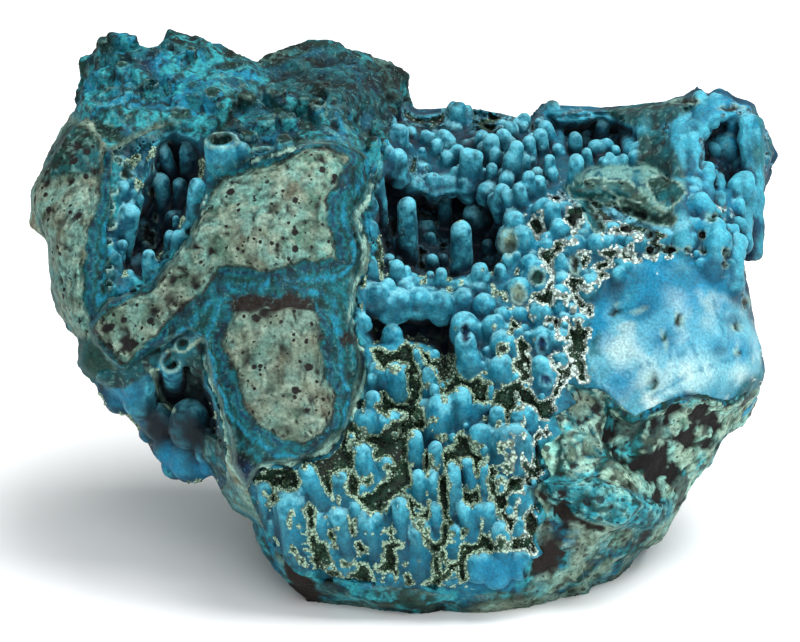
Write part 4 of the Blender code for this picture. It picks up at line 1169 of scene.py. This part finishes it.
# Patches of another blue: (across, down, reach, colour, share)
BLOOMS = [
    (510, 455, 26, DEEP_BLUE_AND_SHADE, 0.8), (159, 432, 36, NIGHT, 0.95), (192, 434, 40, NIGHT, 0.95),
    (620, 385, 24, AZURE, 0.85), (720, 300, 22, AZURE, 0.6), (497, 572, 34, AZURE, 0.6),
    (665, 335, 14, AZURE, 0.8), (170, 462, 24, AZURE, 0.9), (205, 466, 16, AZURE, 0.8),
    (125, 395, 22, AZURE, 0.5), (740, 350, 17, AZURE, 0.8), (640, 305, 22, AZURE, 0.7),
    (692, 300, 18, AZURE, 0.6), (602, 340, 16, AZURE, 0.7), (716, 345, 12, AZURE, 0.6),
    (650, 398, 11, WHITE_RIM, 0.6), (620, 352, 20, WHITE_RIM, 0.4), (692, 374, 27, WHITE_RIM, 0.35),
    (742, 376, 14, WHITE_RIM, 0.4), (674, 298, 15, WHITE_RIM, 0.35), (706, 322, 12, WHITE_RIM, 0.3),
    (616, 288, 17, DEEP_BLUE_AND_SHADE, 0.8), (645, 308, 15, DEEP_BLUE_AND_SHADE, 0.85), (714, 270, 15, DEEP_BLUE_AND_SHADE, 0.8),
    (738, 298, 12, DEEP_BLUE_AND_SHADE, 0.65), (733, 322, 11, DEEP_BLUE_AND_SHADE, 0.6), (664, 341, 10, DEEP_BLUE_AND_SHADE, 0.6),
    (719, 350, 10, DEEP_BLUE_AND_SHADE, 0.55), (672, 312, 62, AZURE, 0.45),
]
# Black blotches of the rock: (across, down, reach)
BLOTCHES = [
    (660, 470, 17), (700, 415, 13), (672, 410, 9), (715, 425, 9), (640, 465, 8), (655, 495, 7),
    (127, 343, 8), (257, 452, 9), (690, 440, 10), (620, 450, 6), (608, 432, 5), (705, 445, 6),
    (560, 512, 6), (300, 300, 8), (262, 302, 10), (285, 298, 8), (350, 335, 6), (352, 362, 4),
]
CRACKS = [
    [(180, 267), (190, 275), (200, 285)],
    [(325, 378), (318, 392), (305, 412), (290, 430), (282, 437)],
    [(700, 370), (720, 378), (745, 382)],
]
# Pits strewn through the rock: (spacing in metres, smallest and largest in parts of it, seed)
PIT_SIZES = ((0.0026, 0.06, 0.36, 79), (0.0011, 0.02, 0.42, 80))
# The cells, as size and seed, whose borders are the pale veinlets of the teal mass
VEINLET_CELLS = (0.0034, 173)
# Veins of dark teal through the lower right, and under the pale face: (line, half width)
TEAL_VEINS = [
    ([(598, 386), (612, 402), (632, 421), (652, 410), (692, 394), (732, 402), (766, 378)], 3.0),
    ([(646, 412), (641, 432), (636, 462)], 4.0),
    ([(602, 396), (607, 420), (605, 458), (596, 482)], 4.0),
    ([(598, 452), (640, 468), (684, 472)], 3.0),
    ([(560, 384), (552, 420), (562, 452), (556, 486)], 5.0),
    ([(540, 486), (590, 506), (640, 520), (668, 514)], 2.5),
    ([(560, 592), (600, 560), (650, 545)], 3.0),
]
# Round nodules with dark green rinds: (across, down, half width, half height)
NODULES = [(578, 404, 17, 23), (590, 444, 10, 15), (572, 455, 8, 12), (555, 428, 6, 12)]
LEFT_BAND = [(97, 150), (112, 150), (108, 250), (110, 302), (92, 325), (82, 300), (84, 240), (95, 190)]
# Pale seams between the plateau and what grew round it: (line, half width)
PALE_SEAMS = [
    ([(371, 185), (369, 200), (357, 211), (361, 225), (363, 250), (361, 275), (352, 290), (350, 318),
      (356, 330), (359, 345), (368, 358)], 2.6),
    ([(170, 345), (200, 336), (206, 345), (207, 365), (212, 380), (220, 400), (226, 415), (227, 440),
      (231, 460), (240, 478), (247, 488)], 2.0),
    ([(262, 464), (275, 466), (298, 461), (312, 457), (326, 445), (341, 434), (353, 420), (359, 395)], 2.2),
    ([(203, 215), (207, 195), (214, 180), (232, 168), (262, 160), (300, 148)], 1.2),
    ([(318, 458), (330, 448), (345, 440)], 1.6),
    ([(186, 330), (196, 322), (212, 316)], 1.2),
    ([(184, 255), (183, 235), (184, 212)], 1.4),
]
# Gaps and areas of the rock, painted dark as shade
DARK_HOLLOWS = [
    [(283, 560), (300, 566), (325, 588), (322, 604), (300, 598), (288, 585)],
    [(536, 489), (560, 505), (585, 520), (602, 527), (578, 526), (552, 514), (540, 501)],
    [(530, 542), (552, 536), (562, 552), (548, 572), (532, 566)],
    [(229, 296), (262, 294), (300, 296), (322, 298), (320, 308), (280, 306), (235, 312)],
    [(344, 328), (352, 328), (357, 338), (352, 346), (345, 342)],
]
DARK_PEAK = [
    (262, 60), (300, 46), (337, 36), (370, 60), (404, 76), (408, 120), (384, 132), (340, 112), (300, 96),
    (275, 84),
]
DARK_TOP = [(52, 140), (64, 122), (84, 128), (98, 142), (98, 178), (64, 176), (40, 182), (42, 166)]
Y_ARM = [(90, 330), (160, 280), (200, 250), (215, 270), (160, 340), (120, 362)]
TEAL_MASS = [
    (60, 15), (165, 20), (340, 30), (410, 70), (412, 110), (392, 150), (372, 180), (350, 142), (300, 142),
    (232, 152), (205, 168), (205, 140), (160, 120), (110, 150), (70, 112), (60, 60),
]
UNDER_SLAB = [
    (70, 335), (96, 338), (120, 372), (150, 352), (188, 334), (200, 345), (140, 372), (110, 395), (70, 370),
]
BOTTOM_BAND = [
    (255, 545), (296, 572), (340, 578), (400, 588), (470, 596), (528, 584), (530, 600), (400, 606),
    (300, 596),
]
LOWER_RIGHT = [
    (546, 384), (600, 388), (632, 416), (660, 404), (695, 396), (730, 402), (775, 385), (775, 520),
    (640, 640), (520, 640), (530, 584), (540, 520), (538, 470),
]


def line_distance(across, down, line):
    """Distance from places to an open line, in grid units."""
    place = np.stack([across, down], axis=-1)
    corners = np.array(line, float)
    return np.minimum.reduce([from_segment(place, start, end)[1] for start, end in zip(corners, corners[1:])])


def find_pits(points, across, down):
    """1 in the black pits, blotches and cracks of the rock, and 0 between them."""
    pits = np.zeros(len(points))
    for spacing, smallest, largest, seed in PIT_SIZES:
        pit_size, _, pit_value = cells(points, spacing, seed)
        reach = smallest + largest * pit_value ** 3 + 0.08 * noise(points, spacing / 3, seed + 1)
        pits = np.maximum(pits, smooth_step((reach - pit_size) / 0.10))
    frayed = 8 * noise(points, 0.0022, 83, 3)
    for across0, down0, reach in BLOTCHES:
        away = np.hypot(across - across0, down - down0) + frayed
        pits = np.maximum(pits, smooth_step((reach - away) / 1.6))
    for line in CRACKS:
        pits = np.maximum(pits, smooth_step(1.5 - line_distance(across, down, line) / 1.2) * 0.9)
    return pits


def dark_rock_colours(points, rock, teal, down, grit):
    """The rock of the lower right: darker, with teal and pale patches, and paler at its top."""
    dark = mottled(points, rock, (teal, 1, 0.3, 1.2, 0.005, 163, 3), (MINT, 0.4, 0.1, 1.3, 0.0035, 169, 3))
    dark = blend(dark, dark * 0.25, 0.85 * smooth_step(grit - 0.25))
    dark = mottled(points, dark, (PALE_ROCK, 0.6, -0.3, 2.0, 0.0015, 213))
    dark = dark * np.array([1.15, 1.30, 1.32])
    dark = dark * blend(1.2, 0.78, smooth_step((down - 480) / 60))
    return blend(dark, PIT, 0.8 * smooth_step((noise(points, 0.004, 167, 4) - 0.55) / 0.08))


def clast_colours(points, rock, brown, speckle, grit):
    """The rock of the clasts: browner in places, with dark grit and pale specks."""
    rock = blend(rock, TAN * (0.6 + 0.5 * smooth_step(speckle))[:, None], 0.4 * brown)
    rock = rock * np.array([0.74, 0.88, 0.90])
    rock = blend(rock, rock * 0.3, 0.9 * smooth_step(grit - 0.45))
    return mottled(points, rock, (PALE_ROCK, 0.5, -0.35, 2.0, 0.0013, 213))


def dress_rock(piece, relief):
    """Roughens and colours the rock: speckled clasts, banded veins, teal mass, and a plain broken back."""
    points = points_of(piece)
    normals = normals_of(piece)
    across, down, depth = world_to_face(points)
    broken = wander(across, down, FIRM)
    mottle = noise(points, 0.006, 67, 3)
    speckle = noise(points, 0.0011, 71, 2)
    wobble = 1.6 * noise(points, 0.002, 61, 2)
    grit = 2.0 * noise(points, 0.0009, 193, 2)

    # Where each kind of rock lies; facing is 0 on the back, which has the plain rock's colours
    facing = smooth_step(1 - (depth - relief.read(relief.face, across, down) - 0.0012) / 0.004)
    clasts = [distance_inside(*broken, outline) + wobble for outline in (Y_CLAST, SHIELD_CLAST, LEFT_SLAB)]
    in_clast = np.maximum.reduce(clasts)
    clast = smooth_step(in_clast / 3 + 0.5)
    plateau = distance_inside(*broken, PLATEAU)
    banded = smooth_step(np.maximum(plateau, distance_inside(across, down, LEFT_BAND)) / 4 + 0.5)
    lower_right = within(across, down, LOWER_RIGHT, 8)
    mass = within(across, down, TEAL_MASS, 10)
    pits = find_pits(points, across, down)

    rock = blend(GREY_GREEN, TAN, (0.45 + 0.6 * mottle) * (1 - 0.6 * lower_right))
    rock = blend(rock, PALE_ROCK, smooth_step(0.5 + speckle) * 0.6)
    rock = mottled(points, rock, (MINT, 0.45, 0.4, 1, 0.0025, 73))
    bands = vein_colours(-in_clast / 21 + 0.10 * noise(points, 0.003, 89, 2), points)
    bands = mottled(points, bands, (0.3, 1, 0, 1.4, 0.0016, 187, 3))
    teal = teal_colours(points)
    green = blend(DARK_GREEN, TEAL, 0.3 + 0.5 * mottle)
    dark_green = dark_green_colours(points)

    bent = points + 0.004 * np.stack([noise(points, 0.006, seed, 2) for seed in (197, 199, 207)], axis=-1)
    tint = blend(rock, teal, 0.40 + 0.8 * noise(bent, 0.009, 97, 3))
    tint = blend(tint, teal, facing * mass)
    tint = blend(tint, tint * 0.35, facing * within(*broken, DARK_PEAK, 20))
    tint = blend(tint, bands, facing * banded)
    tint = blend(tint, green, facing * within(across, down, UNDER_SLAB, 8) * 0.9)
    tint = blend(tint, teal, facing * within(across, down, BOTTOM_BAND, 8) * 0.8)
    tint = blend(tint, dark_rock_colours(points, rock, teal, down, grit), facing * lower_right)
    for line, width in TEAL_VEINS:
        vein = smooth_step((width - line_distance(*broken, line) + wobble) / 1.5 + 0.5)
        tint = blend(tint, blend(teal, DARK_GREEN, 0.7 + speckle), facing * vein)
    for place in NODULES:
        away = ellipse(*broken, *place) + 0.08 * speckle
        tint = blend(tint, SEAM, 0.8 * facing * np.exp(-((away - 1.12) / 0.08) ** 2))
        tint = blend(tint, dark_green, facing * smooth_step((1.05 - away) * 8))
        tint = blend(tint, rock, 0.8 * facing * smooth_step((0.72 - away) * 6))
    turquoise = blend(TURQUOISE, MINT, 0.2 + 0.7 * speckle)
    turquoise = mottled(points, turquoise, (TEAL, 1, 0.3, 1.2, 0.0022, 181))
    turquoise = blend(turquoise, DARK_GREEN * 0.6, 0.8 * smooth_step(grit - 0.3))
    tint = blend(tint, turquoise, facing * within(across, down, TURQUOISE_SLAB, 6))
    brown = smooth_step(clasts[1] / 4 + 0.5) + 0.7 * within(*broken, Y_ARM, 20)
    tint = blend(tint, clast_colours(points, rock, brown, speckle, grit), facing * clast)
    tint = blend(tint, dark_green, facing * within(*broken, DARK_TOP, 8))
    holes = pits * np.maximum(facing * np.maximum(clast, lower_right), 0.5 * (1 - facing))
    tint = blend(tint, PIT, holes)
    # Painted shade in the rock's gaps
    for outline in DARK_HOLLOWS:
        hollow = smooth_step((distance_inside(*broken, outline) + 2 * wobble) / 3 + 0.5)
        tint = blend(tint, CREVICE_SHADE, facing * hollow)
    rim = 0.35 * facing * np.exp(-((plateau - 2.5 + 0.8 * wobble) / 2.2) ** 2) * smooth_step(0.9 + mottle)
    gappy = patches(points, 0.75, 1.4, 0.0022, 189, 3)
    for line, width in PALE_SEAMS:
        away = line_distance(across, down, line) + 0.9 * wobble
        rim = np.maximum(rim, facing * smooth_step((0.75 * width - away) / 1.2 + 0.5) * gappy)
    tint = blend(tint, SEAM, rim)
    craggy = facing * mass * (1 - banded) * (1 - clast)
    tint = blend(tint, paint_sections(tint.copy(), points, broken, relief.growths, 0.3)[0], craggy)
    store(piece, "tint", np.clip(tint, 0, 1))

    lift = -0.00045 * holes + 0.00025 * rim
    lift += 0.00012 * speckle * (1 - 0.5 * clast)
    lift += 0.0002 * facing * (1 - clast) * (0.6 - cells(points, 0.0014, 103)[0])
    lift += 0.0007 * craggy * (cells(points, *VEINLET_CELLS)[2] - 0.5)
    points = points + normals * lift[:, None]
    points[:, 2] = np.where(points[:, 2] < 0.0004, 0, points[:, 2])
    move_points(piece, points)

    near, wide = depth_in_hollows(relief, across, down, depth, 0.0012, 0.0055)
    shadow = np.clip(0.6 * smooth_step(wide - 0.25) + 0.35 * smooth_step(near - 0.2), 0, 0.8)
    store(piece, "dim", shadow * facing * clear_of_edge(across, down))
    pitted = np.maximum(facing * np.maximum(clast, 0.8 * lower_right), 0.5 * (1 - facing))
    store(piece, "pitted", (1 - rim) * pitted)
    store(piece, "flecked", np.maximum(craggy, 0.6 * facing * banded * (1 - clast)))


def vein_colours(turn, points):
    """Bands that run round a clast, from its edge (0) outwards (1)."""
    steps = ((0.0, PIT * 2), (0.08, DARK_GREEN), (0.20, TEAL), (0.34, NAVY), (0.48, TEAL), (0.60, DARK_GREEN),
             (0.74, TEAL), (0.84, VEIN_BLUE), (0.94, TEAL), (1.1, DARK_GREEN), (1.4, TEAL), (1.7, DARK_GREEN),
             (2.0, NAVY))
    places = [place for place, _ in steps]
    turn = turn + 0.05 * noise(points, 0.0009, 107, 2)
    channels = [np.interp(turn, places, [colour[axis] for _, colour in steps]) for axis in range(3)]
    return np.stack(channels, axis=-1)


def teal_colours(points):
    """Dark teal and blue, with pale green-white veinlets."""
    mass = blend(TEAL, NAVY, 0.25 + 0.6 * noise(points, 0.005, 109, 3))
    mass = mottled(
        points, mass, (VEIN_BLUE, 0.8, 0.3, 1.2, 0.003, 113, 3), (DARK_GREEN, 1, -0.1, 1, 0.004, 127),
        (DARK_GREEN * 0.7, 1, 0, 1.5, 0.011, 185), (BRIGHT_TEAL, 0.85, -0.1, 1.6, 0.0020, 195, 4),
        (0.10, 0.9, -0.35, 2.2, 0.0011, 179, 3))
    _, border, _ = cells(points, *VEINLET_CELLS)
    veinlet = smooth_step(1 - border / 0.10) * patches(points, 0.2, 1.2, 0.009, 137)
    return blend(mass, MINT, 0.35 * veinlet)


# Beads of druse

def beads(name, places, normals, radii, tints):
    """Many small round grains as one mesh."""
    bm = bmesh.new()
    bmesh.ops.create_icosphere(bm, subdivisions=1, radius=1.0)
    shape = np.array([vert.co for vert in bm.verts])
    faces = np.array([[vert.index for vert in face.verts] for face in bm.faces])
    bm.free()
    points = places[:, None] + shape[None] * radii[:, None, None]
    points = points + normals[:, None] * (0.2 * radii)[:, None, None]
    index = np.arange(len(places))[:, None, None] * len(shape) + faces[None]
    made = mesh_object(name, points.reshape(-1, 3), index.reshape(-1, 3).astype(np.int32))
    store(made, "tint", np.repeat(tints, len(shape), axis=0))
    return made


def spread_out(points, order, gap):
    """Picks points in an order, and leaves out those in the same small cube as one already picked."""
    taken = set()
    kept_points = []
    keys = np.floor(points / gap).astype(int)
    for index in order:
        key = tuple(keys[index])
        if key not in taken:
            taken.add(key)
            kept_points.append(index)
    return np.array(kept_points, int)


# Materials

def node(tree, kind, operation=None, **inputs):
    """Adds a shader node and sets its inputs, by name or number, to values or other nodes' outputs."""
    made = tree.nodes.new(kind)
    if operation:
        made.operation = operation
    for name, value in inputs.items():
        socket = made.inputs[int(name[1:])] if name[0] == "i" and name[1:].isdigit() else made.inputs[name]
        if isinstance(value, bpy.types.NodeSocket):
            tree.links.new(value, socket)
        else:
            socket.default_value = value
    return made


def finish(name, roughness, bump, grain_size, sheen=0.0, specular=0.2):
    """A new material: its node tree, places on the mesh, and fine grain from 0 to 1.

    The grain already gives the shader its relief and a varied roughness.
    """
    made = bpy.data.materials.new(name)
    made.use_nodes = True
    tree = made.node_tree
    shader = tree.nodes["Principled BSDF"]
    place = node(tree, "ShaderNodeTexCoord").outputs["Object"]
    grain = noise_node(tree, place, grain_size, 4.0, 0.65)
    crumbs = node(tree, "ShaderNodeTexVoronoi", Vector=place, Scale=0.8 / grain_size).outputs["Distance"]
    height = math_node(tree, "SUBTRACT", grain, crumbs)
    relief = node(tree, "ShaderNodeBump", Height=height, Strength=bump, Distance=grain_size * 0.5)
    tree.links.new(relief.outputs[0], shader.inputs["Normal"])
    tree.links.new(ramp(tree, grain, 0.3, 0.7, roughness - 0.12, roughness + 0.12), shader.inputs["Roughness"])
    shader.inputs["Sheen Weight"].default_value = sheen
    shader.inputs["Sheen Roughness"].default_value = 0.4
    shader.inputs["Specular IOR Level"].default_value = specular
    return made, tree, place, grain


def coloured(made, colour, shaded=True):
    """Gives a material its colour, darker where less light gets in, and hands the material back."""
    tree = made.node_tree
    if shaded:
        shadow = vector_node(tree, "MULTIPLY", colour, i1=tuple(SHADOW))
        colour = mixed(tree, colour, shadow, kept(tree, "dim", "Fac"))
    tree.links.new(colour, tree.nodes["Principled BSDF"].inputs["Base Color"])
    return made


def math_node(tree, operation, first, second=0.0):
    """The result of a sum on two values or outputs."""
    return node(tree, "ShaderNodeMath", operation, i0=first, i1=second).outputs[0]


def vector_node(tree, operation, first, **second):
    """The result of a sum on a vector or colour."""
    return node(tree, "ShaderNodeVectorMath", operation, i0=first, **second).outputs[0]


def noise_node(tree, place, size, detail, roughness):
    """Noise from 0 to 1 with a grain of size metres."""
    made = node(tree, "ShaderNodeTexNoise", Vector=place, Scale=1 / size, Detail=detail, Roughness=roughness)
    return made.outputs[0]


def ramp(tree, value, start, end, low, high):
    """low where value is at start or before it, and high where it is at end or past it."""
    return node(tree, "ShaderNodeMapRange", Value=value, i1=start, i2=end, i3=low, i4=high).outputs[0]


def mixed(tree, low, high, share):
    """One colour where share is 0 and the other where it is 1."""
    colours = [(*value, 1) if isinstance(value, np.ndarray) else value for value in (low, high)]
    return node(tree, "ShaderNodeMixRGB", Fac=share, Color1=colours[0], Color2=colours[1]).outputs[0]


def kept(tree, name, output="Color"):
    """What store() kept for each point of the mesh."""
    made = tree.nodes.new("ShaderNodeAttribute")
    made.attribute_name = name
    return made.outputs[output]


def scaled(tree, colour, value):
    """A colour made darker or lighter."""
    return vector_node(tree, "SCALE", colour, Scale=value)


def spots(tree, place, spacing, share, smallest, largest):
    """1 in round spots strewn about a spacing apart, few of them large, and 0 between them."""
    cell = node(tree, "ShaderNodeTexVoronoi", Vector=place, Scale=1 / spacing)
    value = node(tree, "ShaderNodeSeparateColor", i0=cell.outputs["Color"]).outputs[0]
    size = ramp(tree, value, 1 - share, 1.0, smallest, largest)
    chosen = ramp(tree, value, 1 - share, 1.02 - share, 0.0, 1.0)
    inside = ramp(tree, math_node(tree, "SUBTRACT", size, cell.outputs["Distance"]), 0.0, 0.08, 0.0, 1.0)
    return math_node(tree, "MULTIPLY", inside, chosen)


def ragged(tree, place, size, reach):
    """Places moved about a little, so that spots and edges on them are ragged."""
    moved = node(tree, "ShaderNodeTexNoise", Vector=place, Scale=1 / size, Detail=3.0).outputs["Color"]
    aside = vector_node(tree, "SUBTRACT", moved, i1=(0.5, 0.5, 0.5))
    return vector_node(tree, "ADD", place, i1=vector_node(tree, "SCALE", aside, Scale=reach))


def crust_material():
    """Velvety blue that ends in ragged pale rims, with speckled druse in its holes."""
    made, tree, place, grain = finish("velvet_blue", 0.6, 0.4, 0.00045, sheen=0.03)
    frayed = ramp(tree, noise_node(tree, place, 0.0008, 4.0, 0.7), 0.25, 0.75, -0.0002, 0.0002)
    edge = math_node(tree, "ADD", kept(tree, "edge", "Fac"), frayed)
    crumbs = spots(tree, ragged(tree, place, 0.0004, 0.0003), 0.0007, 0.45, 0.2, 0.42)
    druse = mixed(tree, kept(tree, "druse"), PALE_RIM, math_node(tree, "MULTIPLY", crumbs, 0.7))
    velvet = scaled(tree, kept(tree, "tint"), ramp(tree, grain, 0.3, 0.7, 0.62, 1.32))
    colour = mixed(tree, velvet, druse, ramp(tree, edge, 0.0, -0.0001, 0.0, 1.0))
    beading = node(tree, "ShaderNodeTexVoronoi", Vector=place, Scale=1 / 0.0006).outputs["Distance"]
    rim = scaled(tree, kept(tree, "rim"), ramp(tree, beading, 0.30, 0.60, 1.1, 0.25))
    from_rim = math_node(tree, "ABSOLUTE", math_node(tree, "SUBTRACT", edge, 0.00005))
    return coloured(made, mixed(tree, colour, rim, ramp(tree, from_rim, 0.00026, 0.00042, 0.95, 0.0)))


def stone_material():
    """Speckled stone with black pits, and pale flecks in its blue-green parts."""
    made, tree, place, grain = finish("host_stone", 0.72, 0.6, 0.0006)
    colour = scaled(tree, kept(tree, "tint"), ramp(tree, grain, 0.3, 0.7, 0.45, 1.48))
    frayed = ragged(tree, place, 0.0006, 0.0005)
    for spacing, share, smallest, largest in ((0.0021, 0.45, 0.05, 0.40), (0.0009, 0.40, 0.10, 0.45)):
        pits = spots(tree, frayed, spacing, share, smallest, largest)
        colour = mixed(tree, colour, PIT, math_node(tree, "MULTIPLY", pits, kept(tree, "pitted", "Fac")))
    flecks = ramp(tree, noise_node(tree, place, 0.0007, 5.0, 0.7), 0.56, 0.66, 0.0, 0.35)
    colour = mixed(tree, colour, MINT, math_node(tree, "MULTIPLY", flecks, kept(tree, "flecked", "Fac")))
    specks = spots(tree, place, 0.0007, 0.30, 0.1, 0.4)
    return coloured(made, mixed(tree, colour, DARK_GREEN * 0.4, math_node(tree, "MULTIPLY", specks, 0.6)))


def bead_material():
    """Glassy grains of druse, each with its own tint."""
    made, tree, _, grain = finish("cream_druse", 0.45, 0.3, 0.0004, specular=0.3)
    colour = scaled(tree, kept(tree, "tint"), ramp(tree, grain, 0.3, 0.7, 0.75, 1.2))
    return coloured(made, colour, shaded=False)


def floor_material():
    """Plain matt studio white."""
    made, tree, _, grain = finish("floor_white", 0.8, 0.0, 2.0, specular=0.1)
    return coloured(made, mixed(tree, FLOOR_WHITE * 0.99, FLOOR_WHITE, grain), shaded=False)


# Stage

VIEW_DISTANCE = 2.4
VIEW_MIDDLE = (400, 321)
VIEW_DEPTH = 0.022
FLOOR_WHITE = np.array([0.93, 0.935, 0.94])


def light(name, spot, size, watts, target=(0, 0, 0.035)):
    """A soft square light that looks at the specimen."""
    lamp = bpy.data.lights.new(name, "AREA")
    lamp.size = size
    lamp.energy = watts
    made = bpy.data.objects.new(name, lamp)
    bpy.context.scene.collection.objects.link(made)
    made.location = spot
    made.rotation_euler = (Vector(target) - Vector(spot)).to_track_quat("-Z", "Y").to_euler()


def stage():
    """A pale floor, soft light from above and from the front, and the camera."""
    bm = bmesh.new()
    bmesh.ops.create_grid(bm, x_segments=1, y_segments=1, size=6)
    mesh = bpy.data.meshes.new("floor")
    bm.to_mesh(mesh)
    bm.free()
    floor = bpy.data.objects.new("floor", mesh)
    bpy.context.scene.collection.objects.link(floor)
    floor.data.materials.append(floor_material())

    world = bpy.data.worlds.new("studio")
    bpy.context.scene.world = world
    world.use_nodes = True
    background = world.node_tree.nodes["Background"]
    background.inputs["Color"].default_value = (0.96, 0.98, 1.0, 1)
    background.inputs["Strength"].default_value = 0.46
    light("key", (0.58, 0.00, 1.60), 1.30, 42)
    light("fill", (0.3, -1.5, 0.95), 1.4, 21)

    camera = bpy.data.objects.new("camera", bpy.data.cameras.new("camera"))
    bpy.context.scene.collection.objects.link(camera)
    middle = Vector(face_to_world(*VIEW_MIDDLE, VIEW_DEPTH))
    backwards = Vector((0, -math.cos(LEAN), math.sin(LEAN)))
    camera.location = middle + backwards * VIEW_DISTANCE
    camera.rotation_euler = (-backwards).to_track_quat("-Z", "Y").to_euler()
    camera.data.lens = camera.data.sensor_width * VIEW_DISTANCE / (800 * GRID)
    camera.data.clip_end = 20
    bpy.context.scene.camera = camera
    bpy.context.scene.view_settings.view_transform = "Standard"


CRUSTS = {
    "front_crust": ("chrysocolla_front", FRONT_CRUST, 6),
    "left_pocket_crust": ("chrysocolla_left_pocket", LEFT_POCKET_CRUST, 15),
    "lower_left_crust": ("chrysocolla_lower_left", LOWER_LEFT_CRUST, 6),
}
BED_NEAR = 0.0005
BEHIND_FACE = 0.004
BEAD_COUNT = 9300
BEAD_GAP = 0.00036


def place_piece(piece, slot, material):
    """Hands a piece to the frame in place of a solid, with its finish."""
    piece.data.materials.append(material)
    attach(piece, "root")
    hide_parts(slot)


def behind(piece, relief, surface):
    """How far each point of a piece lies behind one of the relief's surfaces."""
    across, down, depth = world_to_face(points_of(piece))
    return depth - relief.read(surface, across, down)


def make_crusts(relief):
    """The three blue crusts.

    Returns, for all their points together: places, normals, distance from the blue's edge and
    which are hidden.
    """
    velvet = crust_material()
    parts = []
    for slot, (name, outline, seam_reach) in CRUSTS.items():
        piece = mesh_object(name, *relief.surface(np.maximum(relief.volume, relief.column(outline))))
        thin(piece, behind(piece, relief, relief.bed) > -BED_NEAR, MOST_TRIANGLES)
        inner = behind(piece, relief, relief.bed) > -BED_NEAR
        edge = dress_crust(piece, relief, outline, seam_reach, inner)
        place_piece(piece, slot, velvet)
        parts.append((points_of(piece), normals_of(piece), edge, inner))
    return [np.concatenate(part) for part in zip(*parts)]


def make_rock(relief):
    """The rock, cut back where the crusts lie."""
    volume = relief.volume.copy()
    for _, outline, _ in CRUSTS.values():
        np.maximum(volume, -relief.column(outline) - np.float32(0.0002), out=volume)
    rock = mesh_object("breccia_rock", *relief.surface(volume))
    thin(rock, behind(rock, relief, relief.face) > BEHIND_FACE, MOST_TRIANGLES)
    dress_rock(rock, relief)
    place_piece(rock, "host_rock", stone_material())


def make_beads(points, normals, edge, hidden):
    """Pale grains of druse along the rims of the blue, and darker ones on the floors of its holes."""
    chance = np.random.default_rng(SEED + 1)
    across, _, depth = world_to_face(points)
    spread = RIM_WIDTH * chance.uniform(0.2, 1.0, len(edge))
    spread = np.where(chance.random(len(edge)) < 0.65 * smooth_step((across - 490) / 40), 0, spread)
    near_rim = np.flatnonzero((np.abs(edge) < spread) & ~hidden & (depth < FAR_RIMS))
    on_floor = np.flatnonzero((edge < -RIM_WIDTH) & ~hidden & (depth < FAR_RIMS))
    kinds = (("cream_beads", near_rim, 0.00020, 0.38), ("druse_grains", on_floor, 0.00022, 1.10))
    for name, places, largest, greenness in kinds:
        chosen = spread_out(points, chance.permutation(places), BEAD_GAP)[:BEAD_COUNT]
        sizes = chance.uniform(0.00009, largest, len(chosen))
        shade = chance.random(len(chosen)) + 0.4 * noise(points[chosen], 0.004, 191, 1)
        tints = blend(CREAM, WHITE_RIM, smooth_step((points[chosen, 0] - 0.012) / 0.012))
        for colour, start in ((OLIVE, 0.85), (DRUSE_GREEN, 1.25), (DRUSE, 1.65)):
            tints = blend(tints, colour, smooth_step((shade + greenness - start) / 0.3))
        grains = beads(name, points[chosen], normals[chosen], sizes, tints)
        grains.data.materials.append(bead_material())
        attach(grains, "root")


relief = Relief()
make_beads(*make_crusts(relief))
make_rock(relief)
stage()
